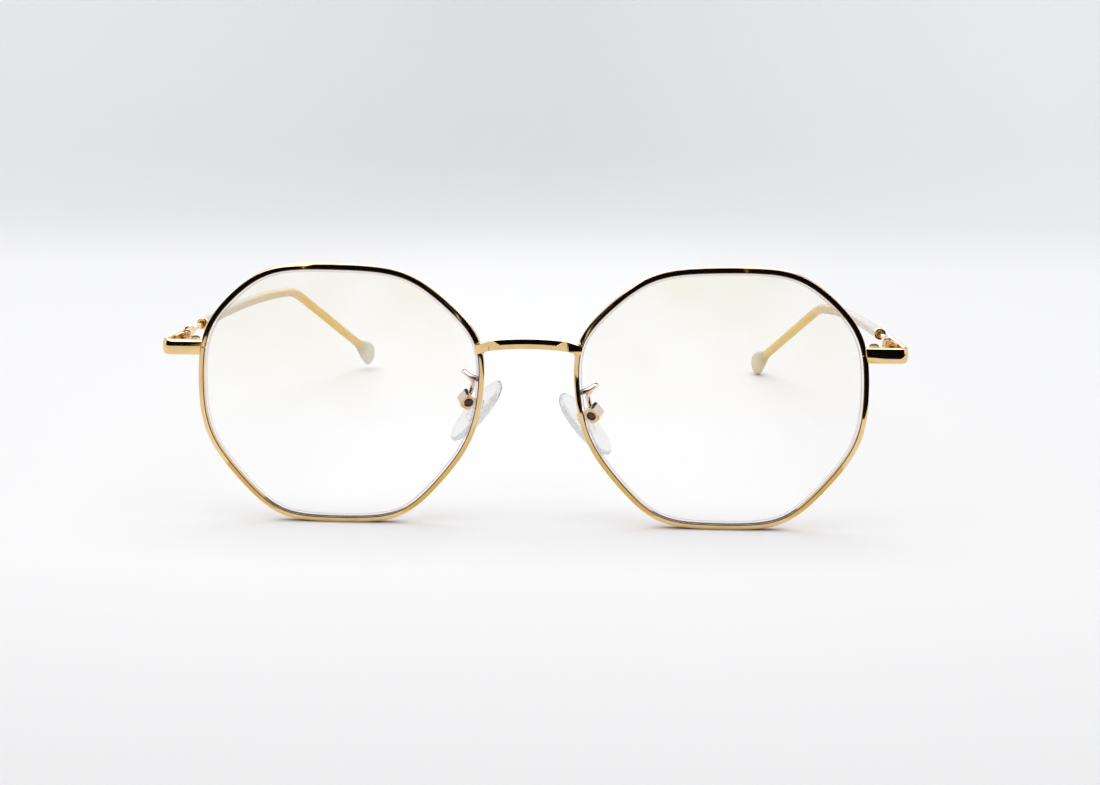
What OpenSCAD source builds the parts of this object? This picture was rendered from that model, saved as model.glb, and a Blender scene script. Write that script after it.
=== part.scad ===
// Metal eyeglass frame with round-cornered octagonal rims, clear lenses, screw-on
// nose pads and wire temples that end in milky sleeves.
// Millimetres. Z is up, the front faces -Y, and the frame stands on its rims and
// temple tips. Right and left are the wearer's own, so right is -X.

/* [Front] */
// Width of a lens at its bevelled edge
lens_w = 54.1; // [50:0.1:56]
// Height of a lens at its bevelled edge
lens_h = 49.4; // [45:0.1:53]
// Gap between the two lenses at the nose
nose_gap = 18.3; // [15:0.1:21]
// Crispness of the eight rounded corners, higher is crisper
corner_crisp = 11.7; // [8:0.1:16]
// Radius of the lens's curve
lens_curve = 160; // [120:5:400]
// Thickness of a lens
lens_t = 1.5; // [1.2:0.1:2.4]

/* [Rims] */
// Thickness of the rim wire, seen from the front
rim_t = 1.05; // [0.9:0.05:1.5]
// Width of the metal lip on each side of the lens groove
lip_w = 0.2; // [0.15:0.05:0.5]
// Depth of the lens groove
groove_depth = 0.47; // [0.3:0.01:0.6]
// Clearance between a lens and its groove
lens_gap = 0.06; // [0.03:0.01:0.1]
// Width of the slot where a rim opens for its lens
rim_slot = 0.2; // [0.1:0.05:0.4]

/* [Bridge] */
// Height of the bridge bar
bridge_h = 1.85; // [1.4:0.05:2.6]
// Thickness of the bridge bar from front to back
bridge_t = 1.35; // [1:0.05:1.8]
// Height of the bar's top above the lens centre
bridge_rise = 11.75; // [10:0.05:13]
// How far the bar stands in front of its ends
bridge_forward = 1.3; // [0.8:0.05:2]
// Thickness of the angled ends from front to back
bridge_end_t = 1.1; // [0.8:0.05:1.5]
// Distance that each end reaches past the middle of its rim
bridge_lap = 0.5; // [0:0.05:0.8]
// Length of each angled end, across the frame
bridge_end_w = 2.45; // [1.8:0.05:3.5]
// How far each angled end drops
bridge_drop = 1.1; // [0.4:0.05:1.8]
// Rise of the bar's gentle arch
bridge_arch = 0.45; // [0.1:0.05:0.8]
// Depth of the facet milled along the bar's upper front
facet_depth = 0.3; // [0.1:0.05:0.5]

/* [End pieces] */
// How far an end piece stands out beyond its rim
end_out = 7.7; // [6.5:0.1:10]
// Height of an end piece
end_h = 3; // [2.6:0.05:3.6]
// Thickness of an end piece
end_t = 1.1; // [0.8:0.05:1.5]
// Bulge of an end piece's outer face
end_crown = 0.3; // [0.1:0.05:0.45]
// Rounding of an end piece's long edges
end_round = 0.35; // [0.1:0.05:0.5]
// Outer radius where an end piece turns back
end_corner_r = 1.9; // [1.6:0.05:2.5]
// Inward lean of the part that runs back
end_lean = 4.5; // [2:0.5:8]
// Length of the part that runs back to the hinge
side_len = 7; // [6:0.1:10]
// Height of an end piece's middle above the lens centre
end_rise = 8.95; // [6:0.05:10]

/* [Rim locks] */
// Radius of the closing block round its screw
lock_r = 1.2; // [1.1:0.05:1.4]
// Distance from the rim to the closing screw
lock_reach = 1.35; // [1.25:0.05:1.6]
// Radius of the closing screw
lock_screw_r = 0.55; // [0.4:0.05:0.65]
// Radius of the closing screw's head
lock_head_r = 0.95; // [0.8:0.05:1.1]

/* [Hinges] */
// Height of the three knuckles together
hinge_h = 2.7; // [2.4:0.05:2.9]
// Radius of a knuckle
knuckle_r = 1.05; // [0.9:0.05:1.15]
// Gap between one knuckle and the next
knuckle_gap = 0.06; // [0.04:0.01:0.1]
// Radius of the hinge screw's shank
hinge_screw_r = 0.5; // [0.35:0.05:0.6]
// Radius of the hinge screw's head
hinge_head_r = 0.85; // [0.75:0.05:1]
// Thickness of a hinge leaf
leaf_t = 0.5; // [0.4:0.05:0.6]
// Length of a hinge leaf beyond its knuckles
leaf_len = 2.6; // [1.5:0.1:3.2]
// Gap between an end piece and its temple
fold_gap = 0.2; // [0.15:0.05:0.3]
// Clearance round every screw
bore_gap = 0.03; // [0.02:0.01:0.05]

/* [Temples] */
// Length of the flat front end of a temple
butt_len = 4.7; // [4:0.1:8]
// Length of the taper from the flat end to the wire
taper_len = 4.8; // [3:0.1:6]
// Diameter of the temple wire
wire_d = 1; // [0.8:0.05:1.2]
// Distance from the hinge to the sleeve's ring
ring_at = 14.1; // [13:0.1:20]
// Distance from the hinge to the start of the ear bend
shaft_len = 84; // [70:1:95]
// Slope of the right temple at its hinge
right_slope = -2.4; // [-4:0.1:2]
// Slope of the left temple at its hinge
left_slope = -0.5; // [-4:0.1:2]
// Extra slope that a temple gains by its bend
shaft_droop = 10.3; // [4:0.1:12]
// Length of the curved stretch at the ear bend
bend_len = 10; // [6:0.5:20]
// Inward angle of a temple just before its bend
shaft_in = 1.9; // [0:0.1:6]
// Inward angle of the ear tip
tip_in = 12.5; // [6:0.5:18]
// Length of the straight ear tip
tip_len = 52; // [40:1:56]
// Height of the right ear tip off the table, as adjusted
right_tip_off = 1.5; // [0:0.1:3]
// Height of the left ear tip off the table, as adjusted
left_tip_off = 0; // [0:0.1:3]
// Diameter of the sleeve
sleeve_d = 2.2; // [1.9:0.05:2.8]
// Clearance between the wire and its sleeve
sleeve_gap = 0.06; // [0.04:0.01:0.1]
// Height of the flared end of the sleeve
hoof_w = 6.2; // [3.5:0.1:7]
// Thickness of the flared end of the sleeve
hoof_t = 3.2; // [2.6:0.1:4]
// Length over which the sleeve flares
hoof_len = 11; // [8:0.5:14]
// Distance from the end of the wire to the end of the sleeve
wire_short = 9; // [6:0.5:12]
// Outer diameter of the sleeve's ring
ring_d = 2.35; // [2.2:0.05:2.9]
// Length of the sleeve's ring
ring_len = 0.9; // [0.6:0.1:2]

/* [Nose pads] */
// Length of a nose pad
pad_l = 15; // [11:0.5:16]
// Width of a nose pad
pad_w = 7; // [6.5:0.1:9]
// Bulge of a nose pad towards the nose
pad_bulge = 1.5; // [1.2:0.05:2.2]
// Bulge of a nose pad away from the nose
pad_back = 1; // [0.7:0.05:1.2]
// Distance of a pad box's middle from the frame's middle
box_x = 12.3; // [11:0.1:14]
// Distance of a pad box's middle behind the rims' plane
box_y = 4.4; // [4:0.1:6]
// Distance of a pad box's middle below the lens centre
box_drop = 2.7; // [1:0.1:5]
// How far the right pad is bent up
right_pad_lift = 1.15; // [-1.5:0.05:1.5]
// How far the left pad is bent up
left_pad_lift = -1.15; // [-1.5:0.05:1.5]
// Tilt of the pads seen from the front
pad_tilt = 40; // [25:1:42]
// Turn of the pads seen from above
pad_splay = 25; // [20:1:35]
// Depth of a pad box, towards its pad
box_depth = 2.5; // [2.4:0.1:3.2]
// Width of a pad box along its screw
box_w = 2.7; // [2.6:0.1:3.8]
// Height of a pad box
box_h = 3; // [2.9:0.1:4]
// Distance of the pad screw from the pad's middle plane
tab_reach = 3.2; // [3:0.1:4]
// Thickness of the tab that the screw holds
tab_t = 0.8; // [0.7:0.05:1.1]
// Radius of the pad screw
pad_screw_r = 0.45; // [0.35:0.05:0.55]
// Diameter of the pad arm's wire
arm_d = 1.05; // [0.8:0.05:1.2]

/* [Hidden] */

// Gap left at every soldered or pressed seat
seat = 0.02;
// Sides of a true circle
round_fn = 48;
// Height of a screw's head, of its dome, and the width and depth of its slot
head_h = 0.45;
dome_h = 0.3;
slot_w = 0.24;
slot_depth = 0.17;

// Outline of a rim: eight straight sides with rounded corners between them. Each
// side has the direction that it faces and its distance from the middle, and the
// outline is then brought to the lens's own width and height.
side_dir = [1, 47, 91, 133, 185, 222, 270, 319];
side_dist = [26.7, 27.6, 24.8, 27.6, 27.5, 25.7, 24.8, 25.7];
ones = [1, 1, 1, 1, 1, 1, 1, 1];
outline_n = 96;

function closeness(t) = [for (k = [0:7]) pow(max(0, cos(t - side_dir[k])) / side_dist[k], corner_crisp)];
function reach(t) = pow(closeness(t) * ones, -1 / corner_crisp);
function raw(t) = reach(t) * [cos(t), sin(t)];
raw_points = [for (t = [0:3:357]) raw(t)];
raw_x = [for (p = raw_points) p[0]];
raw_z = [for (p = raw_points) p[1]];
raw_size = [max(raw_x) - min(raw_x), max(raw_z) - min(raw_z)];
raw_mid = [max(raw_x) + min(raw_x), max(raw_z) + min(raw_z)] / 2;

// The middle line of the rim wire runs through the groove's inner third
groove_floor = rim_t / 2 - groove_depth;
lens_edge = -groove_floor - lens_gap;
wire_box = [lens_w, lens_h] - 2 * [lens_edge, lens_edge];
lens_x = nose_gap / 2 + lens_w / 2;
lens_z = wire_box[1] / 2 + rim_t / 2;
rim_depth = lens_t + 2 * lip_w;

function across(t) = let (p = raw(t) - raw_mid)
    [p[0] * wire_box[0] / raw_size[0], p[1] * wire_box[1] / raw_size[1]];
// Outward direction of the outline at angle t
function outward(t) = let (d = across(t + 0.2) - across(t - 0.2)) [d[1], -d[0]] / norm(d);
// Depth of the curved lens at a distance from its middle, zero at its top and bottom
function sag(d) = lens_curve - sqrt(lens_curve * lens_curve - d * d);
function depth_at(p) = sag(norm(p)) - sag(wire_box[1] / 2);
// A point of the rim at angle t, moved out and back
function rim_point(t, out, back) =
    let (p = across(t) + out * outward(t))
    [lens_x + p[0], depth_at(across(t)) + back, lens_z + p[1]];
// The angle between lo and hi at which the outline has a given height
function angle_at(h, lo, hi, steps = 24) =
    let (mid = (lo + hi) / 2)
    steps == 0 ? mid : across(mid)[1] < h ? angle_at(h, mid, hi, steps - 1)
        : angle_at(h, lo, mid, steps - 1);

end_z = lens_z + end_rise;
split_angle = angle_at(end_rise, 0, 60);
slot_angle = asin(rim_slot / 2 / norm(across(split_angle)));
rim_angles = [for (k = [0:outline_n]) split_angle + slot_angle + (360 - 2 * slot_angle) * k / outline_n];

// Frame of the part of an end piece that runs back, and the hinge axis in it
rim_side_x = lens_x + across(split_angle)[0] + rim_t / 2;
frame_w = 2 * (rim_side_x + end_out);
front_lip = 0.1;
end_front_y = depth_at(across(split_angle)) - rim_depth / 2 - front_lip;
corner = [frame_w / 2 - end_corner_r, end_front_y + end_corner_r];
end_crown_r = (end_h * end_h / 4 + end_crown * end_crown) / (2 * end_crown);
knuckle_seat = 0.15;
hinge_in = end_corner_r - end_t - knuckle_seat - knuckle_r;
hinge_back = side_len + fold_gap / 2;
knuckle_h = (hinge_h - 2 * knuckle_gap) / 3;

// Rim lock
lock_x = rim_side_x + lock_reach;
lock_y = end_front_y + end_t + seat + lock_r;
lock_h = (end_h - rim_slot) / 2;

// Bridge: its ends lie on the fronts of the rims
nose_angle = angle_at(bridge_rise - bridge_drop - bridge_h, 240, 120);
bridge_end_x = lens_x + across(nose_angle)[0] + bridge_lap;
bridge_back_y = depth_at(across(nose_angle)) - rim_depth / 2 - seat;
bridge_fold_x = bridge_end_x - bridge_end_w;
bridge_top = lens_z + bridge_rise;

// Temple path: pitch is the angle down and yaw the angle inwards at distance s
butt_x = end_corner_r - end_t / 2 - hinge_in;
temple_len = shaft_len + bend_len + tip_len;
path_n = 144;
path_step = temple_len / path_n;
// Length of the sleeve's rounded end, and how far its flare hangs below the wire
cap_len = 1.8;
heel = 0.35;
wire_end = temple_len - wire_short;
bore_end = 0.2;
// Sides of the wire and of the sleeve
tube_n = 12;

function clamp01(k) = min(1, max(0, k));
function smooth(k) = let (c = clamp01(k)) c * c * (3 - 2 * c);
function pitch(s, slope, tip) =
    let (before = slope + shaft_droop)
    s < shaft_len ? slope + shaft_droop * s / shaft_len
        : before + (tip - before) * clamp01((s - shaft_len) / bend_len);
function yaw(s) = end_lean + (shaft_in - end_lean) * clamp01(s / shaft_len)
    + (tip_in - shaft_in) * clamp01((s - shaft_len) / bend_len);
// Distance that the path drops while its pitch turns evenly from a to b
function arc_drop(len, a, b) = abs(b - a) < 0.001 ? len * sin(a)
    : len * (cos(a) - cos(b)) / ((b - a) * PI / 180);
// Half height and half thickness of the sleeve at distance e from its end
function cap(e) = e >= cap_len ? 1 : sqrt(max(0.02, 1 - pow((cap_len - e) / cap_len, 2)));
function flare(e) = smooth((hoof_len - e) / (hoof_len - cap_len));
function hoof_up(e) = (sleeve_d / 2 + (hoof_w - sleeve_d) / 2 * flare(e)) * cap(e);
function hoof_out(e) = (sleeve_d / 2 + (hoof_t - sleeve_d) / 2 * flare(e)) * cap(e);
hoof_ends = concat(
    [for (k = [0, 0.14, 0.4, 0.67, 1]) k * cap_len],
    [for (k = [0.14, 0.31, 0.5, 0.72, 1]) cap_len + k * (hoof_len - cap_len)]
);
// Distances at which the shaft of a temple and its bend are drawn
shaft_stops = [for (k = [1:5]) ring_at + (shaft_len - ring_at) * k / 5];
bend_stops = [for (k = [1:5]) shaft_len + bend_len * k / 5];
// Height of the sleeve's lowest point when the ear tip points down at this angle
function low_point(slope, tip) =
    let (before = slope + shaft_droop)
    let (start = end_z - arc_drop(shaft_len, slope, before) - arc_drop(bend_len, before, tip))
    min([for (e = hoof_ends)
        start - (tip_len - e) * sin(tip) - cos(tip) * (hoof_up(e) + heel * flare(e))]);
// The ear tip's angle at which its lowest point is at height off
function tip_pitch(slope, off, lo = 5, hi = 70, steps = 30) =
    let (mid = (lo + hi) / 2)
    steps == 0 ? mid : low_point(slope, mid) > off ? tip_pitch(slope, off, mid, hi, steps - 1)
        : tip_pitch(slope, off, lo, mid, steps - 1);

function along(s, slope, tip) =
    let (p = pitch(s, slope, tip))
    let (q = yaw(s))
    [-sin(q) * cos(p), cos(q) * cos(p), -sin(p)];
hinge_at = [
    corner[0] + hinge_in * cos(end_lean) - hinge_back * sin(end_lean),
    corner[1] + hinge_in * sin(end_lean) + hinge_back * cos(end_lean)
];
path_start = [hinge_at[0] + butt_x * cos(end_lean), hinge_at[1] + butt_x * sin(end_lean), end_z];
function path_points(slope, tip) = [for (
    i = 0, p = path_start;
    i <= path_n;
    p = p + path_step * along((i + 0.5) * path_step, slope, tip), i = i + 1) p];
function path_at(points, s) =
    let (k = min(path_n - 1, floor(s / path_step)))
    points[k] + (points[k + 1] - points[k]) * (s / path_step - k);
// A ring round the path, half sizes a across and b up, dropped by d
function ring(points, s, slope, tip, a, b, d = 0) =
    let (t = along(s, slope, tip))
    let (up = [0, 0, 1] - t * t[2])
    let (v = up / norm(up))
    let (u = cross(v, t))
    let (c = path_at(points, s) - d * v)
    [for (k = [0:tube_n - 1]) c + u * a * cos(360 * k / tube_n) + v * b * sin(360 * k / tube_n)];

// Nose pad frame: x away from the nose, y along the screw, z along the pad
box_z = lens_z - box_drop;
screw_up = 0.9;
box_mouth = 1.2;
tab_end_r = 0.75;
pad_head_r = 0.72;
well_gap = 0.2;
// Pad arm: how far its foot is above the box and sunk over the rim, the direction in
// which it leaves the foot, its bends and its seat, each measured from the box's middle,
// and the way in which the sides of its wire are counted
foot_up = 4.5;
foot_sunk = 0.2;
arm_start = [0.9, 1.2, 0.3];
arm_bends = [
    [-0.85, -2.3, 5.15], [0.13, -1.7, 5.72], [0.46, -1, 5.72], [0.19, -0.3, 5.42],
    [-0.6, 0, 4.5], [-1.15, 0, 3.6], [-1, 0, 2.5]
];
arm_seat = [0.45, 0, 1];
arm_side = [1, 0, 0.3];
function pad_turn(p) =
    let (x1 = p[0] * cos(pad_splay) + p[1] * sin(pad_splay))
    let (y1 = -p[0] * sin(pad_splay) + p[1] * cos(pad_splay))
    [x1 * cos(pad_tilt) - p[2] * sin(pad_tilt), y1, x1 * sin(pad_tilt) + p[2] * cos(pad_tilt)];
pad_at = [box_x, box_y, box_z] - pad_turn([tab_reach, 0, screw_up]);

// Solid skinned over rings of points, each ring running round the direction of travel
module skin(rings, first = undef, last = undef) {
    m = len(rings[0]);
    n = len(rings);
    tips = concat(is_undef(first) ? [] : [first], is_undef(last) ? [] : [last]);
    points = concat([for (r = rings) each r], tips);
    last_index = n * m + (is_undef(first) ? 0 : 1);
    sides = [for (i = [0:n - 2]) for (j = [0:m - 1])
        let (a = i * m + j, b = i * m + (j + 1) % m)
        each [[a, b + m, b], [a, a + m, b + m]]];
    start_cap = is_undef(first) ? [[for (j = [0:m - 1]) j]]
        : [for (j = [0:m - 1]) [n * m, j, (j + 1) % m]];
    end_cap = is_undef(last) ? [[for (j = [m - 1:-1:0]) (n - 1) * m + j]]
        : [for (j = [0:m - 1]) [last_index, (n - 1) * m + (j + 1) % m, (n - 1) * m + j]];
    polyhedron(points = points, faces = concat(sides, start_cap, end_cap), convexity = 6);
}

// Everything is drawn for the left side, and the right side is its mirror image. The
// shift puts the middle of the frame's footprint at the origin.
front_reach = bridge_back_y - bridge_end_t - bridge_forward;
left_tip = tip_pitch(left_slope, left_tip_off);
right_tip = tip_pitch(right_slope, right_tip_off);
left_path = path_points(left_slope, left_tip);
right_path = path_points(right_slope, right_tip);
back_reach = max(left_path[path_n][1], right_path[path_n][1]);
shift_y = -(front_reach + back_reach) / 2;

module left_side() {
    translate([0, shift_y, 0]) children();
}

module right_side() {
    translate([0, shift_y, 0]) mirror([1, 0, 0]) children();
}

// The space that a rim takes up, seen from the front
module rim_envelope() {
    points = [for (a = rim_angles) across(a) + (rim_t / 2 + seat) * outward(a)];
    deep = 40;
    translate([lens_x, deep / 2, lens_z]) rotate([90, 0, 0]) linear_extrude(deep) polygon(points);
}

// Rim wire with its lens groove, open at the slot
module rim() {
    inner = -rim_t / 2;
    outer = rim_t / 2;
    back = rim_depth / 2;
    edge = 0.25;
    lip_edge = 0.1;
    section = [
        [-groove_floor, 0], [inner, -back + lip_w], [inner + lip_edge, -back],
        [outer - edge, -back], [outer, -back + edge], [outer, back - edge],
        [outer - edge, back], [inner + lip_edge, back], [inner, back - lip_w]
    ];
    rings = [for (a = rim_angles) [for (p = section) rim_point(a, p[0], p[1])]];
    color("goldenrod") skin(rings);
}

// Lens with a bevelled edge that sits in the groove
module lens() {
    face_in = -rim_t / 2 - lens_gap;
    half = lens_t / 2;
    function face_ring(share, side) = [for (k = [0:outline_n - 1])
        let (p = share * (across(rim_angles[k]) + face_in * outward(rim_angles[k])))
        [lens_x + p[0], depth_at(p) + side * half, lens_z + p[1]]];
    edge_ring = [for (k = [0:outline_n - 1]) rim_point(rim_angles[k], lens_edge, 0)];
    rings = [
        face_ring(0.36, 1), face_ring(0.7, 1), face_ring(1, 1),
        edge_ring,
        face_ring(1, -1), face_ring(0.7, -1), face_ring(0.36, -1)
    ];
    middle = [lens_x, depth_at([0, 0]), lens_z];
    color("aliceblue", 0.4) skin(rings, middle + [0, half, 0], middle - [0, half, 0]);
}

// Bridge bar: an arched bar in front of the rims, with an angled end at each side
// that laps a rim, and a facet milled along its upper front
module bridge() {
    y_end = bridge_back_y - bridge_end_t;
    y_front = y_end - bridge_forward;
    y_back = y_front + bridge_t;
    slant = 0.25;
    foot_trim = 0.1;
    tip_x = bridge_end_x + slant;
    plan = [
        [-tip_x, bridge_back_y], [-tip_x, y_end], [-bridge_fold_x, y_front],
        [bridge_fold_x, y_front], [tip_x, y_end], [tip_x, bridge_back_y],
        [bridge_fold_x, y_back], [-bridge_fold_x, y_back]
    ];
    arch_r = (bridge_fold_x * bridge_fold_x + bridge_arch * bridge_arch) / (2 * bridge_arch);
    function arch(x) = sqrt(arch_r * arch_r - x * x) - arch_r;
    xs = [for (k = [-5:5]) bridge_fold_x * k / 5];
    foot = bridge_top - bridge_drop - bridge_arch;
    front = concat(
        [[-bridge_end_x, foot - bridge_h + foot_trim]],
        [for (k = [0:10]) [xs[k], bridge_top - bridge_h + arch(xs[k])]],
        [[bridge_end_x, foot - bridge_h + foot_trim], [tip_x, foot]],
        [for (k = [10:-1:0]) [xs[k], bridge_top + arch(xs[k])]],
        [[-tip_x, foot]]
    );
    facet_h = bridge_h / 2;
    reach_x = bridge_fold_x - 0.6;
    above = facet_h + 1;
    run_out = 1.5;
    flat_x = reach_x - run_out;
    boat = concat(
        [[-reach_x, above], [-reach_x, facet_h + arch(reach_x)]],
        [for (k = [-6:6]) [flat_x * k / 6, arch(flat_x * k / 6)]],
        [[reach_x, facet_h + arch(reach_x)], [reach_x, above]]
    );
    block = 20;
    color("gold") translate([0, shift_y, 0]) difference() {
        intersection() {
            translate([0, 0, bridge_top - block / 2]) linear_extrude(block) polygon(plan);
            translate([0, block / 2, 0]) rotate([90, 0, 0]) linear_extrude(block) polygon(front);
        }
        translate([0, y_front, bridge_top - facet_h])
            rotate([90 - atan(facet_depth / facet_h), 0, 0]) linear_extrude(bridge_t) polygon(boat);
    }
}

// Cross-section of an end piece, its crowned outer face towards +X
module d_section() {
    offset(r = end_round, $fn = 24) offset(delta = -end_round) intersection() {
        translate([-end_t / 2, -end_h / 2]) square([end_t, end_h]);
        translate([end_t / 2 - end_crown_r, 0]) circle(r = end_crown_r, $fn = 96);
    }
}

// Frame whose Y axis runs back along the side of the end piece
module at_corner() {
    translate([corner[0], corner[1], end_z]) rotate([0, 0, end_lean]) children();
}

// Frame at the hinge axis
module at_hinge() {
    at_corner() translate([hinge_in, hinge_back, 0]) children();
}

// End piece: a crowned strip that starts at the rim and turns back to the hinge
module end_piece() {
    color("gold") difference() {
        union() {
            translate([corner[0], end_front_y + end_t / 2, end_z]) rotate([90, 0, -90])
                linear_extrude(corner[0] - lens_x) d_section();
            translate([corner[0], corner[1], end_z]) rotate([0, 0, -90])
                rotate_extrude(angle = 90 + end_lean, $fn = 96)
                    translate([end_corner_r - end_t / 2, 0]) d_section();
            at_corner() translate([end_corner_r - end_t / 2, side_len, 0]) rotate([90, 0, 0])
                linear_extrude(side_len) d_section();
        }
        rim_envelope();
    }
}

// Half of the block that closes a rim, from height z0 to z1
module lock_half(z0, z1) {
    root = 1;
    color("darkgoldenrod") difference() {
        union() {
            translate([lock_x, lock_y, z0]) cylinder(r = lock_r, h = z1 - z0, $fn = round_fn);
            translate([rim_side_x - root, lock_y - lock_r, z0])
                cube([lock_x - rim_side_x + root, 2 * lock_r, z1 - z0]);
        }
        rim_envelope();
        translate([lock_x, lock_y, z0 - root])
            cylinder(r = lock_screw_r + bore_gap, h = z1 - z0 + 2 * root, $fn = round_fn);
    }
}

module lock_upper() {
    lock_half(end_z + rim_slot / 2, end_z + rim_slot / 2 + lock_h);
}

module lock_lower() {
    lock_half(end_z - rim_slot / 2 - lock_h, end_z - rim_slot / 2);
}

// Screw with a domed head, its shank down from the head's seat at the origin
module screw(shank_r, shank_h, head_r) {
    dome_r = (head_r * head_r + dome_h * dome_h) / (2 * dome_h);
    translate([0, 0, -shank_h])
        cylinder(r = shank_r, h = shank_h + (head_h - slot_depth) / 2, $fn = round_fn);
    difference() {
        intersection() {
            cylinder(r = head_r, h = head_h, $fn = round_fn);
            translate([0, 0, head_h - dome_r]) sphere(r = dome_r, $fn = round_fn);
        }
        translate([-head_r, -slot_w / 2, head_h - slot_depth]) cube([2 * head_r, slot_w, head_h]);
    }
}

module lock_screw() {
    color("wheat") translate([lock_x, lock_y, end_z + rim_slot / 2 + lock_h])
        screw(lock_screw_r, 2 * lock_h + rim_slot, lock_head_r);
}

// One knuckle of a hinge, counted 0 to 2 from below
module knuckle(k, r) {
    translate([0, 0, -hinge_h / 2 + k * (knuckle_h + knuckle_gap)])
        cylinder(r = r, h = knuckle_h, $fn = round_fn);
}

// Hinge leaf on the inside of a side part: a plate, and an arm to each knuckle given
module hinge_leaf(knuckles) {
    leaf_x = end_corner_r - end_t - seat - leaf_t - hinge_in;
    clear = knuckle_r + 0.1;
    lap = 0.1;
    difference() {
        union() {
            translate([leaf_x, clear, -hinge_h / 2]) cube([leaf_t, leaf_len, hinge_h]);
            for (k = knuckles) {
                knuckle(k, knuckle_r);
                translate([0, 0, -hinge_h / 2 + k * (knuckle_h + knuckle_gap)])
                    cube([leaf_x + leaf_t, clear + lap, knuckle_h]);
            }
        }
        translate([0, 0, -hinge_h])
            cylinder(r = hinge_screw_r + bore_gap, h = 2 * hinge_h, $fn = round_fn);
    }
}

module front_hinge() {
    color("darkgoldenrod") at_hinge() mirror([0, 1, 0]) hinge_leaf([0, 2]);
}

module temple_hinge() {
    color("peru") at_hinge() hinge_leaf([1]);
}

module hinge_screw() {
    proud = 0.1;
    color("wheat") at_hinge() translate([0, 0, hinge_h / 2])
        screw(hinge_screw_r, hinge_h + proud, hinge_head_r);
}

// Wire of a temple: flat at the hinge, tapering to the round wire that runs inside
// the sleeve to the ear tip
module temple_wire(points, slope, tip) {
    wire_r = wire_d / 2;
    function half_up(s) = wire_r + (end_h / 2 - wire_r) * (1 - smooth((s - butt_len) / taper_len));
    function half_out(s) = wire_r + (end_t / 2 - wire_r) * (1 - smooth((s - butt_len) / taper_len));
    stops = concat(
        [for (k = [0:5]) butt_len - seat + (taper_len + seat) * k / 5],
        [ring_at], shaft_stops, bend_stops, [wire_end]
    );
    color("gold") {
        at_corner() translate([end_corner_r - end_t / 2, side_len + fold_gap / 2 + butt_len, 0])
            rotate([90, 0, 0]) linear_extrude(butt_len - fold_gap / 2) d_section();
        skin([for (s = stops) ring(points, s, slope, tip, half_out(s), half_up(s))]);
    }
}

// Ring that ends the sleeve
module sleeve_ring(points, slope, tip) {
    t = along(ring_at, slope, tip);
    hole_d = wire_d + 0.4;
    color("goldenrod") translate(path_at(points, ring_at)) rotate([0, acos(t[2]), atan2(t[1], t[0])])
        difference() {
            cylinder(d = ring_d, h = ring_len, $fn = round_fn);
            translate([0, 0, -1]) cylinder(d = hole_d, h = ring_len + 2, $fn = round_fn);
        }
}

// Milky sleeve: a tube over the wire that flares to a rounded hoof
module sleeve(points, slope, tip) {
    bore = (wire_d / 2 + sleeve_gap) / cos(180 / tube_n);
    first = ring_at + ring_len + seat;
    shared = concat([first], shaft_stops, bend_stops);
    hoof = [for (k = [len(hoof_ends) - 1:-1:0]) temple_len - hoof_ends[k]];
    outer = [for (s = concat(shared, hoof)) let (e = temple_len - s)
        ring(points, s, slope, tip, hoof_out(e), hoof_up(e), heel * flare(e))];
    inner = [for (s = concat([first - ring_len], shared, [wire_end + bore_end]))
        ring(points, s, slope, tip, bore, bore)];
    color("ivory") difference() {
        skin(outer);
        skin(inner);
    }
}

// Frame of a nose pad
module at_pad(lift) {
    translate(pad_at + [0, 0, lift]) rotate([0, -pad_tilt, 0]) rotate([0, 0, -pad_splay]) children();
}

// Frame of a pad's screw, its Z axis along the screw towards the front
module at_pad_screw(lift) {
    at_pad(lift) translate([tab_reach, 0, screw_up]) rotate([90, 0, 0]) children();
}

// Insert: a plate inside the pad and a tab with a round end for the screw
module insert_solid(grow) {
    plate_back = 0.35;
    plate_t = 0.5 + 2 * grow;
    plate_w = 2.6 + 2 * grow;
    plate_l = 2.4;
    tab_w = 1.3 + 2 * grow;
    translate([-plate_back - grow, 0, 0]) {
        translate([0, -plate_w / 2, -plate_l / 2]) cube([plate_t, plate_w, plate_l]);
        for (side = [-1, 1])
            translate([0, 0, side * plate_l / 2]) rotate([0, 90, 0])
                cylinder(d = plate_w, h = plate_t, $fn = round_fn);
    }
    translate([0, -tab_t / 2 - grow, screw_up - tab_w / 2]) cube([tab_reach, tab_t + 2 * grow, tab_w]);
}

module pad_insert(lift) {
    color("aliceblue") at_pad(lift) difference() {
        union() {
            insert_solid(0);
            translate([tab_reach, tab_t / 2, screw_up]) rotate([90, 0, 0])
                cylinder(r = tab_end_r, h = tab_t, $fn = round_fn);
        }
        translate([tab_reach, tab_t, screw_up]) rotate([90, 0, 0])
            cylinder(r = pad_screw_r + bore_gap, h = 2 * tab_t, $fn = round_fn);
    }
}

// Soft pad: an oval cushion, fuller towards the nose, moulded round its insert
module nose_pad(lift) {
    function fuller(k) = sign(k) * pow(abs(k), 0.92);
    function oval(share, x) = [for (t = [0:15:345])
        [x, share * pad_w / 2 * fuller(cos(t)), share * pad_l / 2 * fuller(sin(t))]];
    stations = [
        [0.95, 0.5], [0.68, 0.8], [0.2, 0.96], [-0.1, 1], [-0.4, 0.96],
        [-0.72, 0.78], [-0.94, 0.42]
    ];
    rings = [for (k = [len(stations) - 1:-1:0]) let (t = stations[k])
        oval(t[1], t[0] > 0 ? t[0] * pad_back : t[0] * pad_bulge)];
    color("lightcyan", 0.7) at_pad(lift) difference() {
        skin(rings, [-pad_bulge, 0, 0], [pad_back, 0, 0]);
        insert_solid(seat);
    }
}

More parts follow.
